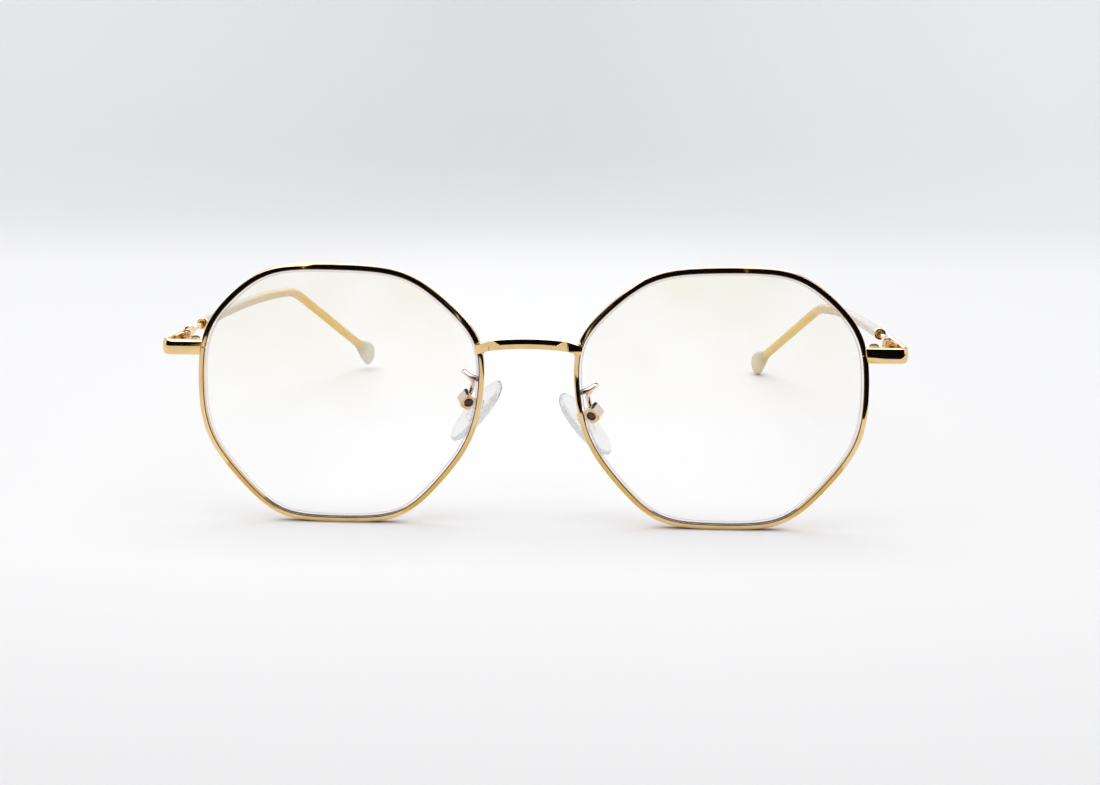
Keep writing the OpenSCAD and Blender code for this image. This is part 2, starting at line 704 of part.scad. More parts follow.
// Pad box: a cup round the tab, with a hole through both cheeks for the screw
module pad_box(lift) {
    mouth = -box_mouth;
    cup_w = tab_t + 0.24;
    cup_h = 2.3;
    wall = 0.35;
    round_r = 0.7;
    color("goldenrod") at_pad(lift) translate([tab_reach, 0, screw_up]) difference() {
        translate([mouth + box_depth / 2, box_w / 2, 0]) rotate([90, 0, 0]) linear_extrude(box_w)
            offset(r = round_r, $fn = round_fn)
                square([box_depth - 2 * round_r, box_h - 2 * round_r], center = true);
        translate([mouth - 1, -cup_w / 2, -cup_h / 2]) cube([box_depth - wall + 1, cup_w, cup_h]);
        translate([0, box_w, 0]) rotate([90, 0, 0])
            cylinder(r = pad_screw_r + bore_gap, h = 2 * box_w, $fn = round_fn);
        translate([0, -box_w / 2 + head_h, 0]) rotate([90, 0, 0])
            cylinder(r = pad_head_r + well_gap, h = box_w, $fn = round_fn);
    }
}

module pad_screw(lift) {
    color("dimgray") at_pad_screw(lift) translate([0, 0, box_w / 2 - head_h + seat])
        screw(pad_screw_r, box_w - head_h, pad_head_r);
}

// Points of a smooth curve through control points, n steps to each stretch
function spline(c, n) = concat([for (i = [1:len(c) - 3]) for (k = [0:n - 1])
    let (t = k / n, a = c[i - 1], b = c[i], d = c[i + 1], e = c[i + 2])
    let (second = 2 * a - 5 * b + 4 * d - e, third = 3 * b - a - 3 * d + e)
    0.5 * (2 * b + (d - a) * t + second * t * t + third * t * t * t)],
    [c[len(c) - 2]]);

// Pad arm: a round wire from the back of the rim, once round and down to the pad box
module pad_arm(lift) {
    box_mid = [box_x, box_y, box_z + lift];
    foot_angle = angle_at(box_mid[2] + foot_up - lens_z, 240, 120);
    foot = rim_point(foot_angle, -foot_sunk, rim_depth / 2 + 2 * seat);
    top = box_mid + pad_turn([arm_seat[0], 0, box_h / 2 + seat]);
    rise = pad_turn([0, 0, arm_seat[2]]);
    control = concat(
        [foot - arm_start, foot], [for (b = arm_bends) box_mid + b], [top, top - rise]
    );
    points = spline(control, 3);
    n = len(points);
    rings = [for (i = [0:n - 1])
        let (d = i == 0 ? [0, 1, 0] : i == n - 1 ? -rise : points[i + 1] - points[i - 1])
        let (t = d / norm(d))
        let (w = cross(arm_side, t))
        let (v = w / norm(w))
        let (u = cross(v, t))
        [for (k = [0:7]) points[i] + arm_d / 2 * (u * cos(45 * k) + v * sin(45 * k))]];
    color("goldenrod") skin(rings);
}

right_side() rim();  // right_rim
left_side() rim();  // left_rim
right_side() lens();  // right_lens
left_side() lens();  // left_lens
bridge();
right_side() end_piece();  // right_end_piece
left_side() end_piece();  // left_end_piece
right_side() lock_upper();  // right_lock_upper
left_side() lock_upper();  // left_lock_upper
right_side() lock_lower();  // right_lock_lower
left_side() lock_lower();  // left_lock_lower
right_side() lock_screw();  // right_lock_screw
left_side() lock_screw();  // left_lock_screw
right_side() front_hinge();  // right_front_hinge
left_side() front_hinge();  // left_front_hinge
right_side() hinge_screw();  // right_hinge_screw
left_side() hinge_screw();  // left_hinge_screw
right_side() pad_arm(right_pad_lift);  // right_pad_arm
left_side() pad_arm(left_pad_lift);  // left_pad_arm
right_side() pad_box(right_pad_lift);  // right_pad_box
left_side() pad_box(left_pad_lift);  // left_pad_box
right_side() pad_screw(right_pad_lift);  // right_pad_screw
left_side() pad_screw(left_pad_lift);  // left_pad_screw
right_side() pad_insert(right_pad_lift);  // right_pad_insert
left_side() pad_insert(left_pad_lift);  // left_pad_insert
right_side() nose_pad(right_pad_lift);  // right_nose_pad
left_side() nose_pad(left_pad_lift);  // left_nose_pad
right_side() temple_hinge();  // right_temple_hinge
left_side() temple_hinge();  // left_temple_hinge
right_side() temple_wire(right_path, right_slope, right_tip);  // right_temple_wire
left_side() temple_wire(left_path, left_slope, left_tip);  // left_temple_wire
right_side() sleeve_ring(right_path, right_slope, right_tip);  // right_sleeve_ring
left_side() sleeve_ring(left_path, left_slope, left_tip);  // left_sleeve_ring
right_side() sleeve(right_path, right_slope, right_tip);  // right_sleeve
left_side() sleeve(left_path, left_slope, left_tip);  // left_sleeve
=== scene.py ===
"""Gold wire eyeglass frame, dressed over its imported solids.

Shapes are worked out in millimetres for the wearer's left side, in the drawing's own
coordinates, and are then moved onto the solids and mirrored for the right side.
"""

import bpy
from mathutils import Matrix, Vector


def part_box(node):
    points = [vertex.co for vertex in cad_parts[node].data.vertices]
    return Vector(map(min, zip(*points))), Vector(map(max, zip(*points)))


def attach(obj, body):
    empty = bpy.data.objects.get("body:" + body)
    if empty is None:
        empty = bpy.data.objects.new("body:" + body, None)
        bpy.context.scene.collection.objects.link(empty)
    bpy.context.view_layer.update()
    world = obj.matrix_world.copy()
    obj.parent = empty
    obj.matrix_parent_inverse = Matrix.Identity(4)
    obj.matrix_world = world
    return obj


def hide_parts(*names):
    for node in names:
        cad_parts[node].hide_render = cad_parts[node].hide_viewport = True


bl_info = {
    "name": "Gold wire eyeglass frame",
    "version": (1, 0, 0),
    "blender": (4, 5, 0),
    "location": "View3D > Sidebar > Eyeglasses",
    "description": "Builds the rims, lenses, bridge, pads, temples and sleeves of an eyeglass frame",
    "category": "Object",
}

import bmesh
import bpy
import numpy as np
from mathutils import Matrix, Vector

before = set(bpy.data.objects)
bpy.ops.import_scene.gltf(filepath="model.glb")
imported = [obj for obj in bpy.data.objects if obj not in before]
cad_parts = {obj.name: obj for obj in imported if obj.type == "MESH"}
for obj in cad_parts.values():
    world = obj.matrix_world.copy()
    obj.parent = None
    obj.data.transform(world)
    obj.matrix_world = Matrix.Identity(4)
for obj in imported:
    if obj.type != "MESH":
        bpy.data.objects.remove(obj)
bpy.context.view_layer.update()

MM = 0.001
SIDES = {"left": 1.0, "right": -1.0}


def turn_cos(degrees):
    """Cosine of an angle in degrees."""
    return np.cos(np.radians(degrees))


def turn_sin(degrees):
    """Sine of an angle in degrees."""
    return np.sin(np.radians(degrees))


def full_turn(count):
    """Evenly spread angles of one turn."""
    return np.linspace(0, 360, count, endpoint=False)


UP = np.array([0, 0, 1.0])

# The outline's eight sides: directions in degrees and distances from its middle.
SIDE_DIR = np.array([1, 47, 91, 133, 185, 222, 270, 319], float)
SIDE_DIST = np.array([26.7, 27.6, 24.8, 27.6, 27.5, 25.7, 24.8, 25.7])
CRISP = 11.7  # power of the mean, higher for tighter corners
GROOVE, LENS_GAP, LENS_CURVE = 0.47, 0.06, 160.0
HALF_SLOT, RIM_EDGE = 0.1, 0.025
NOSE_ARC = (240, 120)  # the rim's side at the nose lies between these angles
LENS_W, LENS_H, NOSE_GAP, RIM_T, LENS_T, LIP_W = 54.1, 49.4, 18.3, 1.05, 1.5, 0.2


def raw_outline(angle):
    """Eight straight sides with soft corners: the reach at an angle is the power mean of
    the closeness to each side, and the point lies that far out along the angle."""
    angle = np.asarray(angle, float)
    near = np.maximum(0, turn_cos(angle[..., None] - SIDE_DIR)) / SIDE_DIST
    reach = (near**CRISP).sum(-1) ** (-1 / CRISP)
    return np.stack([reach * turn_cos(angle), reach * turn_sin(angle)], -1)


class RimShape:
    """The rim's middle line and everything placed by it, from the drawing's sizes."""

    def __init__(self, lens_w, lens_h, nose_gap, rim_t, lens_t, lip_w):
        ring = raw_outline(np.arange(0, 360, 3))
        self.raw_size = np.ptp(ring, axis=0)
        self.raw_mid = (ring.max(0) + ring.min(0)) / 2
        self.rim_t = rim_t
        self.lens_t = lens_t
        self.floor = rim_t / 2 - GROOVE
        self.lens_edge = -self.floor - LENS_GAP
        self.wire_box = np.array([lens_w, lens_h]) - 2 * self.lens_edge
        self.centre = np.array([nose_gap / 2 + lens_w / 2, self.wire_box[1] / 2 + rim_t / 2])
        self.depth = lens_t + 2 * lip_w

    def across(self, angle):
        """The outline brought to the lens's width and height, centred on the lens."""
        return (raw_outline(angle) - self.raw_mid) * self.wire_box / self.raw_size

    def outward(self, angle):
        """Unit normal of the outline: its chord over 0.4 degrees turned by a right angle."""
        chord = self.across(np.asarray(angle) + 0.2) - self.across(np.asarray(angle) - 0.2)
        normal = np.stack([chord[..., 1], -chord[..., 0]], -1)
        return normal / np.linalg.norm(normal, axis=-1, keepdims=True)

    def depth_at(self, flat):
        """Depth of the lens's sphere at a point, zero at the middle of the top side."""
        far = np.linalg.norm(flat, axis=-1)
        top = self.wire_box[1] / 2
        return np.sqrt(LENS_CURVE**2 - top**2) - np.sqrt(LENS_CURVE**2 - far**2)

    def point(self, angle, out, back):
        """Outline point at the angle, moved out along its normal and back along Y."""
        line = self.across(angle)
        flat = line + np.asarray(out)[..., None] * self.outward(angle)
        deep = self.depth_at(line) + back
        return np.stack([self.centre[0] + flat[..., 0], deep, self.centre[1] + flat[..., 1]], -1)

    def angle_at(self, height, low, high):
        """Angle between low and high at which the outline has this height."""
        angles = np.linspace(low, high, 4001)
        heights = self.across(angles)[:, 1]
        return float(angles[np.argmin(np.abs(heights - height))])


def soft_corners(corners, radii, steps=5):
    """Rounds a polygon: each corner becomes a quadratic curve between points that lie the
    corner's radius away along its two sides, never past 0.48 of a side. corners is
    (..., k, 2) and the result (..., k * steps, 2)."""
    before = np.roll(corners, 1, axis=-2)
    after = np.roll(corners, -1, axis=-2)
    radii = np.broadcast_to(radii, corners.shape[:-1])[..., None]

    def towards(other):
        side = other - corners
        length = np.linalg.norm(side, axis=-1, keepdims=True) + 1e-9
        return corners + side / length * np.minimum(radii, 0.48 * length)

    t = np.linspace(0, 1, steps)[:, None]
    start, end = towards(before)[..., None, :], towards(after)[..., None, :]
    curve = (1 - t) ** 2 * start + 2 * t * (1 - t) * corners[..., None, :] + t**2 * end
    return curve.reshape(corners.shape[:-2] + (-1, 2))


def grid_faces(rows, columns):
    """Quads of a grid whose columns close on themselves."""
    i, j = np.meshgrid(np.arange(rows - 1), np.arange(columns), indexing="ij")
    k = (j + 1) % columns
    quads = np.stack([i * columns + j, (i + 1) * columns + j, (i + 1) * columns + k, i * columns + k], -1)
    return quads.reshape(-1, 4)


def skin(rings, closed=False):
    """Surface over rings of points, (n, m, 3). Open ends are closed by a fan of triangles
    to the ring's middle, and with closed the last ring joins the first."""
    n, m, _ = rings.shape
    points = rings.reshape(-1, 3)
    if closed:
        quads = grid_faces(n + 1, m) % (n * m)
        return points, quads, np.zeros((0, 3), int)
    quads = grid_faces(n, m)
    ends = np.stack([rings[0].mean(0), rings[-1].mean(0)])
    points = np.concatenate([points, ends])
    j = np.arange(m)
    k = (j + 1) % m
    last = (n - 1) * m
    fans = np.concatenate(
        [
            np.stack([np.full(m, n * m), j, k], -1),
            np.stack([np.full(m, n * m + 1), last + k, last + j], -1),
        ]
    )
    return points, quads, fans


def run_of(values, rings):
    """One value for each ring, given to all its points and to the two end points."""
    return np.concatenate([np.repeat(values, rings.shape[1]), [values[0], values[-1]]])


def signed_volume(points, quads, fans):
    """Volume of the closed surface, negative when its faces look inwards."""
    tris = np.concatenate([quads[:, [0, 1, 2]], quads[:, [0, 2, 3]], fans])
    a, b, c = points[tris[:, 0]], points[tris[:, 1]], points[tris[:, 2]]
    return float(np.einsum("ij,ij->i", a, np.cross(b, c)).sum())


def on_side(side, word):
    """A name with its side in front. The front and what lies in the middle have no side."""
    return f"{side}_{word}" if side and word != "front" else word


def add_piece(side, part, surface, body, material, sharp=50, node=None, data=None):
    """Makes one object of a surface in millimetres of the drawing, puts it on its side,
    turns its faces outwards and lets it ride on its body. part, body and node are named
    without their side."""
    name = on_side(side, part)
    points, quads, fans = surface
    points = (points * [SIDES.get(side, 1.0), 1, 1] + [0, SHIFT_Y, 0]) * MM
    centred = points - points.mean(0)
    if signed_volume(centred, quads, fans) < 0:
        quads, fans = quads[:, ::-1], fans[:, ::-1]
    mesh = bpy.data.meshes.new(name)
    mesh.from_pydata(points.tolist(), [], quads.tolist() + fans.tolist())
    mesh.update()
    mesh.shade_smooth()
    mesh.set_sharp_from_angle(angle=float(np.radians(sharp)))
    if data is not None:
        layer = mesh.attributes.new("run", "FLOAT", "POINT")
        layer.data.foreach_set("value", np.ascontiguousarray(data, np.float32))
    return settle_piece(name, mesh, on_side(side, body), material, node and on_side(side, node))


def settle_piece(name, mesh, body, material, node):
    """Links a mesh as a piece that rides on its body and stands in for its node."""
    mesh.materials.clear()
    mesh.materials.append(material)
    piece = bpy.data.objects.new(name, mesh)
    bpy.context.scene.collection.objects.link(piece)
    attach(piece, body)
    if node:
        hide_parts(node)
    return piece


MERGE_WITHIN, FLAT_WITHIN, CREASE = 2e-7, 0.01, float(np.radians(35))


def softened_copy(side, part, body, material, width):
    """A solid's own mesh with its points merged and its sharp edges bevelled."""
    node, name = on_side(side, part), on_side(side, f"soft_{part}")
    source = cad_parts[node]
    mesh = source.data.copy()
    mesh.name = name
    mesh.transform(source.matrix_world)
    grid = bmesh.new()
    grid.from_mesh(mesh)
    bmesh.ops.remove_doubles(grid, verts=grid.verts, dist=MERGE_WITHIN)
    bmesh.ops.dissolve_limit(grid, angle_limit=FLAT_WITHIN, verts=grid.verts, edges=grid.edges)
    grid.to_mesh(mesh)
    grid.free()
    mesh.shade_smooth()
    mesh.set_sharp_from_angle(angle=CREASE)
    piece = settle_piece(name, mesh, on_side(side, body), material, node)
    bevel = piece.modifiers.new("soft_edges", "BEVEL")
    bevel.width = width * MM
    bevel.segments = 3
    bevel.limit_method = "ANGLE"
    bevel.angle_limit = CREASE
    bevel.harden_normals = True
    return piece


def unit(vectors):
    """Vectors of length one."""
    return vectors / np.linalg.norm(vectors, axis=-1, keepdims=True)


RIM_LOW = np.array(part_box("left_rim")[0]) / MM


def to_mm(value):
    """A scene length in millimetres."""
    return value / MM


def drawing_shift(shape):
    """Distance along Y from the drawing to the solids: the rim's front lip is at its
    least depth in both."""
    angles = np.linspace(0, 360, 1440)
    front = shape.depth_at(shape.across(angles)).min() - shape.depth / 2
    return float(RIM_LOW[1] - front)


def shape_of(context):
    """The rim's shape from the scene's sizes."""
    s = context.scene.eyeglass_sizes
    return RimShape(
        to_mm(s.lens_width), to_mm(s.lens_height), to_mm(s.nose_gap),
        to_mm(s.rim_thickness), to_mm(s.lens_thickness), to_mm(s.lip_width),
    )


SHIFT_Y = drawing_shift(RimShape(LENS_W, LENS_H, NOSE_GAP, RIM_T, LENS_T, LIP_W))


class Nodes:
    """Short way to add and link shader nodes."""

    def __init__(self, name):
        self.material = bpy.data.materials.new(name)
        self.material.use_nodes = True
        self.tree = self.material.node_tree
        self.shader = self.tree.nodes["Principled BSDF"]
        self.coordinates = self.add("ShaderNodeTexCoord")

    def add(self, kind, **values):
        """A new node with its properties or inputs set."""
        node = self.tree.nodes.new(kind)
        for key, value in values.items():
            if hasattr(node, key):
                setattr(node, key, value)
            else:
                node.inputs[key.replace("_", " ")].default_value = value
        return node

    def link(self, source, target):
        """Links an output to an input."""
        self.tree.links.new(source, target)

    def noise(self, scale, detail=4.0, roughness=0.55, stretch=(1, 1, 1)):
        """Noise in object space, squeezed along the axes by stretch."""
        mapping = self.add("ShaderNodeMapping", Scale=stretch)
        node = self.add("ShaderNodeTexNoise", Scale=scale, Detail=detail, Roughness=roughness)
        self.link(self.coordinates.outputs["Object"], mapping.inputs["Vector"])
        self.link(mapping.outputs["Vector"], node.inputs["Vector"])
        return node.outputs["Fac"]

    def range(self, source, low, high, start=0.3, end=0.7):
        """The source between start and end, brought to low and high."""
        node = self.add("ShaderNodeMapRange", From_Min=start, From_Max=end, To_Min=low, To_Max=high)
        self.link(source, node.inputs["Value"])
        return node.outputs["Result"]

    def math(self, operation, first, second):
        """Two values brought together by an operation."""
        node = self.add("ShaderNodeMath", operation=operation)
        self.link(first, node.inputs[0])
        self.link(second, node.inputs[1])
        return node.outputs[0]

    def times(self, first, second):
        """Product of two values."""
        return self.math("MULTIPLY", first, second)

    def largest(self, first, second):
        """The larger of two values."""
        return self.math("MAXIMUM", first, second)

    def position(self):
        """X, Y and Z in object space."""
        split = self.add("ShaderNodeSeparateXYZ")
        self.link(self.coordinates.outputs["Object"], split.inputs["Vector"])
        return split.outputs["X"], split.outputs["Y"], split.outputs["Z"]

    def run(self):
        """The value that a piece carries in its run attribute."""
        return self.add("ShaderNodeAttribute", attribute_name="run").outputs["Fac"]

    def air(self, distance, samples):
        """1 in the open, falling to 0 where a surface stands within the distance."""
        node = self.add("ShaderNodeAmbientOcclusion", samples=samples, Distance=distance * MM)
        return node.outputs["AO"]

    def blend(self, factor, first, second):
        """Colour between two colours by a factor."""
        node = self.add("ShaderNodeMix", data_type="RGBA")
        node.inputs[0].default_value = 0.5
        for socket, value in ((node.inputs[6], first), (node.inputs[7], second)):
            if hasattr(value, "is_linked"):
                self.link(value, socket)
            else:
                socket.default_value = (*value, 1.0)
        self.link(factor, node.inputs[0])
        return node.outputs[2]

    def bump(self, height, strength, distance):
        """Bump of the shader's normal by a height."""
        node = self.add("ShaderNodeBump", Strength=strength, Distance=distance)
        self.link(height, node.inputs["Height"])
        self.link(node.outputs["Normal"], self.shader.inputs["Normal"])

    def set(self, **values):
        """Sets inputs of the shader."""
        for key, value in values.items():
            socket = self.shader.inputs[key.replace("_", " ")]
            socket.default_value = (*value, 1.0) if isinstance(value, (tuple, list)) else value


def tint(colour, factor):
    """A colour made lighter or darker."""
    return tuple(min(1.0, c * factor) for c in colour[:3])


def polished_gold(name, colour, polish, wear, core=False, groove=False):
    """Plated gold wire: a warm metal with cloudy tone, faint polishing haze and hair-fine
    rub marks. A core is matt and yellow where its sleeve covers it, and a groove has a
    dark, dull line of painted shade along its lips."""
    n = Nodes(name)
    cloud = n.range(n.noise(420, 3.0), 0.0, 1.0)
    rub = n.noise(5200, 2.0, 0.7, (1.0, 0.25, 1.0))
    tone = n.blend(cloud, tint(colour, 0.93), tint(colour, 1.05))
    worn = n.range(n.noise(1500, 5.0, 0.7), 0.0, wear, 0.58, 0.78)
    skin_tone = n.blend(worn, tone, (0.84, 0.74, 0.56))
    haze = n.range(rub, polish * 0.7, polish * 1.3)
    n.bump(rub, 0.03, 0.000004)
    n.set(Metallic=1.0)
    if core:
        run = n.run()
        inside = n.range(run, 0.0, 1.0, 0.1, 0.104)
        yellow = n.blend(n.range(run, 0.0, 1.0, 0.56, 0.66), (0.88, 0.64, 0.3), (0.96, 0.66, 0.13))
        skin_tone = n.blend(inside, skin_tone, n.blend(cloud, yellow, (0.95, 0.72, 0.36)))
        haze = n.range(inside, 0.05, 0.6, 0.0, 1.0)
        n.link(n.range(inside, 1.0, 0.0, 0.0, 1.0), n.shader.inputs["Metallic"])
    if groove:
        # Painted shade: a dark, dull line along the groove's front lip, where the lens sits.
        darkening = n.times(n.range(n.run(), 0.0, 1.0, 0.25, 0.65), n.range(n.noise(160, 2.0), 0.94, 1.0))
        skin_tone = n.blend(darkening, skin_tone, (0.01, 0.006, 0.004))
        haze = n.largest(haze, n.range(darkening, 0.0, 0.8, 0.0, 1.0))
        n.link(n.range(darkening, 1.0, 0.0, 0.0, 0.9), n.shader.inputs["Metallic"])
        n.set(Specular_IOR_Level=0.0)
    n.link(skin_tone, n.shader.inputs["Base Color"])
    n.link(haze, n.shader.inputs["Roughness"])
    return n.material


def small_gold(name, colour, rosy, polish, reach):
    """Plated gold of the small fittings, clouded with a rosier tone, and darkened with
    painted shade wherever another surface stands within reach."""
    n = Nodes(name)
    cloud = n.range(n.noise(900, 3.0), 0.0, 1.0)
    # Painted shade: dark brown in recesses and between parts, where another surface stands within reach.
    open_air = n.range(n.air(reach, 12), 0.0, 1.0, 0.25, 0.85)
    tone = n.blend(cloud, tint(colour, 0.94), rosy)
    n.link(n.blend(open_air, (0.1, 0.05, 0.04), tone), n.shader.inputs["Base Color"])
    n.link(n.range(cloud, polish * 1.2, polish * 2.4, 0.0, 1.0), n.shader.inputs["Roughness"])
    n.bump(n.noise(3000, 2.0), 0.05, 0.00001)
    n.set(Metallic=1.0)
    return n.material


def screw_metal(name, colour):
    """Turned screw steel, a little rosy, with lathe rings and grime."""
    n = Nodes(name)
    darkening = n.range(n.noise(2600, 4.0, 0.6), 0.0, 1.0, 0.35, 0.72)
    n.link(n.blend(darkening, tint(colour, 1.05), tint(colour, 0.6)), n.shader.inputs["Base Color"])
    n.link(n.range(darkening, 0.14, 0.34, 0.0, 1.0), n.shader.inputs["Roughness"])
    n.bump(n.noise(9000, 2.0), 0.12, 0.00002)
    n.set(Metallic=1.0)
    return n.material


def coated_lens(name, colour):
    """Clear lens with a faint painted warm reflection that is stronger above, and a frosted
    line where its bevel starts."""
    n = Nodes(name)
    # Painted reflection: a patchy warm tint that grows towards the top of the lens.
    height = n.range(n.position()[2], 0.0, 1.0, 0.018, 0.047)
    warm_reflection = n.times(height, n.range(n.noise(70, 1.0), 0.35, 1.0))
    body = n.blend(warm_reflection, (1.0, 1.0, 1.0), colour)
    run = n.run()
    line = n.times(n.range(run, 0.0, 1.0, 0.983, 0.986), n.range(run, 1.0, 0.0, 0.99, 0.993))
    n.link(n.blend(line, body, (0.72, 0.62, 0.66)), n.shader.inputs["Base Color"])
    n.link(n.range(line, 1.0, 0.75, 0.0, 1.0), n.shader.inputs["Transmission Weight"])
    n.link(n.range(line, 0.0, 0.3, 0.0, 1.0), n.shader.inputs["Roughness"])
    n.set(IOR=1.15)
    return n.material


def clear_silicone(name, colour):
    """Soft clear silicone: a slightly cloudy body with a satin skin."""
    n = Nodes(name)
    cloud = n.range(n.noise(420, 3.0), 0.0, 1.0)
    n.link(n.blend(cloud, tint(colour, 0.96), tint(colour, 1.02)), n.shader.inputs["Base Color"])
    n.link(n.range(n.noise(900, 3.0), 0.12, 0.2), n.shader.inputs["Roughness"])
    n.bump(n.noise(300, 1.0), 0.2, 0.0001)
    n.set(IOR=1.22, Transmission_Weight=1.0)
    return n.material


def hard_plastic(name, colour):
    """Clear moulded plastic with faint flow clouds."""
    n = Nodes(name)
    cloud = n.range(n.noise(900, 3.0), 0.0, 1.0)
    n.link(n.blend(cloud, tint(colour, 0.95), colour), n.shader.inputs["Base Color"])
    n.link(n.range(cloud, 0.06, 0.14, 0.0, 1.0), n.shader.inputs["Roughness"])
    n.set(IOR=1.33, Transmission_Weight=1.0)
    return n.material


def milky_sleeve(name, colour):
    """Milky moulded plastic that lets the gold core glow through, cloudier at both ends.
    The tip on the left has yellowed more than the one on the right."""
    n = Nodes(name)
    run = n.run()
    cloud = n.range(n.noise(160, 2.0), 0.0, 1.0)
    body = n.blend(cloud, tint(colour, 0.97), tint(colour, 1.02))
    body = n.blend(n.range(run, 0.0, 1.0, 0.5, 0.66), body, (0.98, 0.88, 0.54))
    start = n.range(run, 1.0, 0.0, 0.16, 0.44)
    body = n.blend(start, body, (0.84, 0.81, 0.75))
    tip = n.range(run, 0.0, 1.0, 0.915, 0.96)
    aged = n.range(n.position()[0], 0.0, 1.0, -0.02, 0.02)
    hoof = n.blend(aged, (0.79, 0.75, 0.68), (0.78, 0.7, 0.5))
    n.link(n.blend(tip, body, hoof), n.shader.inputs["Base Color"])
    solid = n.range(n.largest(n.range(start, 0.0, 0.8, 0.0, 1.0), tip), 0.85, 0.15, 0.0, 1.0)
    n.link(solid, n.shader.inputs["Transmission Weight"])
    n.link(n.range(n.noise(300, 1.0), 0.3, 0.38), n.shader.inputs["Roughness"])
    n.set(IOR=1.4)
    return n.material


ROSE_GOLD, PALE_GOLD, PALE_ROSE = (0.9, 0.68, 0.46), (0.93, 0.8, 0.66), (0.92, 0.78, 0.72)
FINISH = {
    "gold_metal": (
        "plated_gold", lambda f, name: polished_gold(name, tuple(f.gold_colour), f.polish, f.wear)
    ),
    "gold_rim": (
        "rim_gold", lambda f, name: polished_gold(name, tuple(f.gold_colour), f.polish, f.wear, groove=True)
    ),
    "gold_small": (
        "fitting_gold", lambda f, name: small_gold(name, tuple(f.gold_colour), ROSE_GOLD, f.polish, 0.7)
    ),
    "gold_pale": (
        "pad_arm_gold", lambda f, name: small_gold(name, PALE_GOLD, PALE_ROSE, f.polish, 1.1)
    ),
    "gold_core": (
        "sleeved_gold", lambda f, name: polished_gold(name, tuple(f.gold_colour), f.polish, f.wear, True)
    ),
    "clear_plastic": ("hard_plastic", lambda f, name: hard_plastic(name, (0.96, 0.96, 0.97))),
    "rosy_screw": ("rosy_screw", lambda f, name: screw_metal(name, (0.95, 0.74, 0.46))),
    "screw_metal": ("turned_screw", lambda f, name: screw_metal(name, tuple(f.screw_colour))),
    "lens_clear": ("coated_lens", lambda f, name: coated_lens(name, tuple(f.reflection_tint))),
    "clear_silicone": ("soft_silicone", lambda f, name: clear_silicone(name, tuple(f.silicone_colour))),
    "milky_plastic": ("milky_sleeve", lambda f, name: milky_sleeve(name, tuple(f.sleeve_colour))),
}


def finish_of(context, slot):
    """The material of a slot, made on first use."""
    name, make = FINISH[slot]
    return bpy.data.materials.get(name) or make(context.scene.eyeglass_finish, name)


def rim_rings(shape, split, slot, crown, edge):
    """A wire with a crowned front and back and a lens groove, carried round the outline
    from one side of its slot to the other, and one value for each point: 1 along the
    front lip of the groove, where the rim's gold paints a shade line, and 0 elsewhere."""
    half = shape.rim_t / 2
    back = shape.depth / 2
    lip = 0.2
    corners = np.array(
        [
            [-shape.floor, 0.0], [-half, -back + lip], [-half, -back + 0.09], [-half + 0.1, -back],
            [-half + 0.15, -back + 0.01], [-half + 0.19, -back + 0.018],
            [half - 0.36, -back + crown * 0.54], [half - 0.05, -back + crown],
            [half, -back + crown + 0.16], [half, back - crown - 0.16],
            [half - 0.05, back - crown], [half - 0.36, back - crown * 0.54],
            [-half + 0.1, back], [-half, back - 0.09], [-half, back - lip],
        ]
    )
    radii = np.array(
        [0.03, 0.03, edge, edge, 0.01, 0.01, 0.12, 0.05, 0.08, 0.08, 0.05, 0.12, edge, edge, 0.03]
    )
    seat = np.array([0, 0, 1, 1, 1, 0, 0, 0, 0, 0, 0, 0, 0, 0, 0])
    section = soft_corners(corners, radii, 4)
    angles = split + slot + (360 - 2 * slot) * np.linspace(0, 1, 421)
    angle_grid = np.repeat(angles[:, None], len(section), 1)
    out = np.broadcast_to(section[:, 0], angle_grid.shape)
    deep = np.broadcast_to(section[:, 1], angle_grid.shape)
    run = np.concatenate([np.tile(np.repeat(seat, 4), len(angles)), [1, 1]])
    return shape.point(angle_grid, out, deep), run


def lens_rings(shape, split):
    """Two spherical faces and a bevelled edge: rings of the outline at growing shares of
    its size, on a sphere in front, then round the edge and back on a sphere behind."""
    angles = split + full_turn(288)
    face_in = -shape.rim_t / 2 - LENS_GAP
    rim_flat = shape.across(angles) + face_in * shape.outward(angles)
    share = np.concatenate([np.linspace(0.02, 0.97, 24), [0.982, 0.986, 0.99, 0.994, 1.0]])[:, None, None]
    flat = share * rim_flat
    deep = shape.depth_at(flat)
    half = shape.lens_t / 2

    def face(side):
        x, z = shape.centre[0] + flat[..., 0], shape.centre[1] + flat[..., 1]
        return np.stack([x, deep + side * half, z], -1)

    edge = shape.point(angles, np.full(len(angles), shape.lens_edge), np.zeros(len(angles)))
    rings = np.concatenate([face(1), edge[None], face(-1)[::-1]])
    run = np.concatenate([share.ravel(), [1.0], share.ravel()[::-1]])
    return rings, run_of(run, rings)


BRIDGE_RISE, BRIDGE_DROP, BRIDGE_THICK, BRIDGE_FORWARD, BRIDGE_LAP = 11.75, 1.1, 1.35, 1.3, 0.5


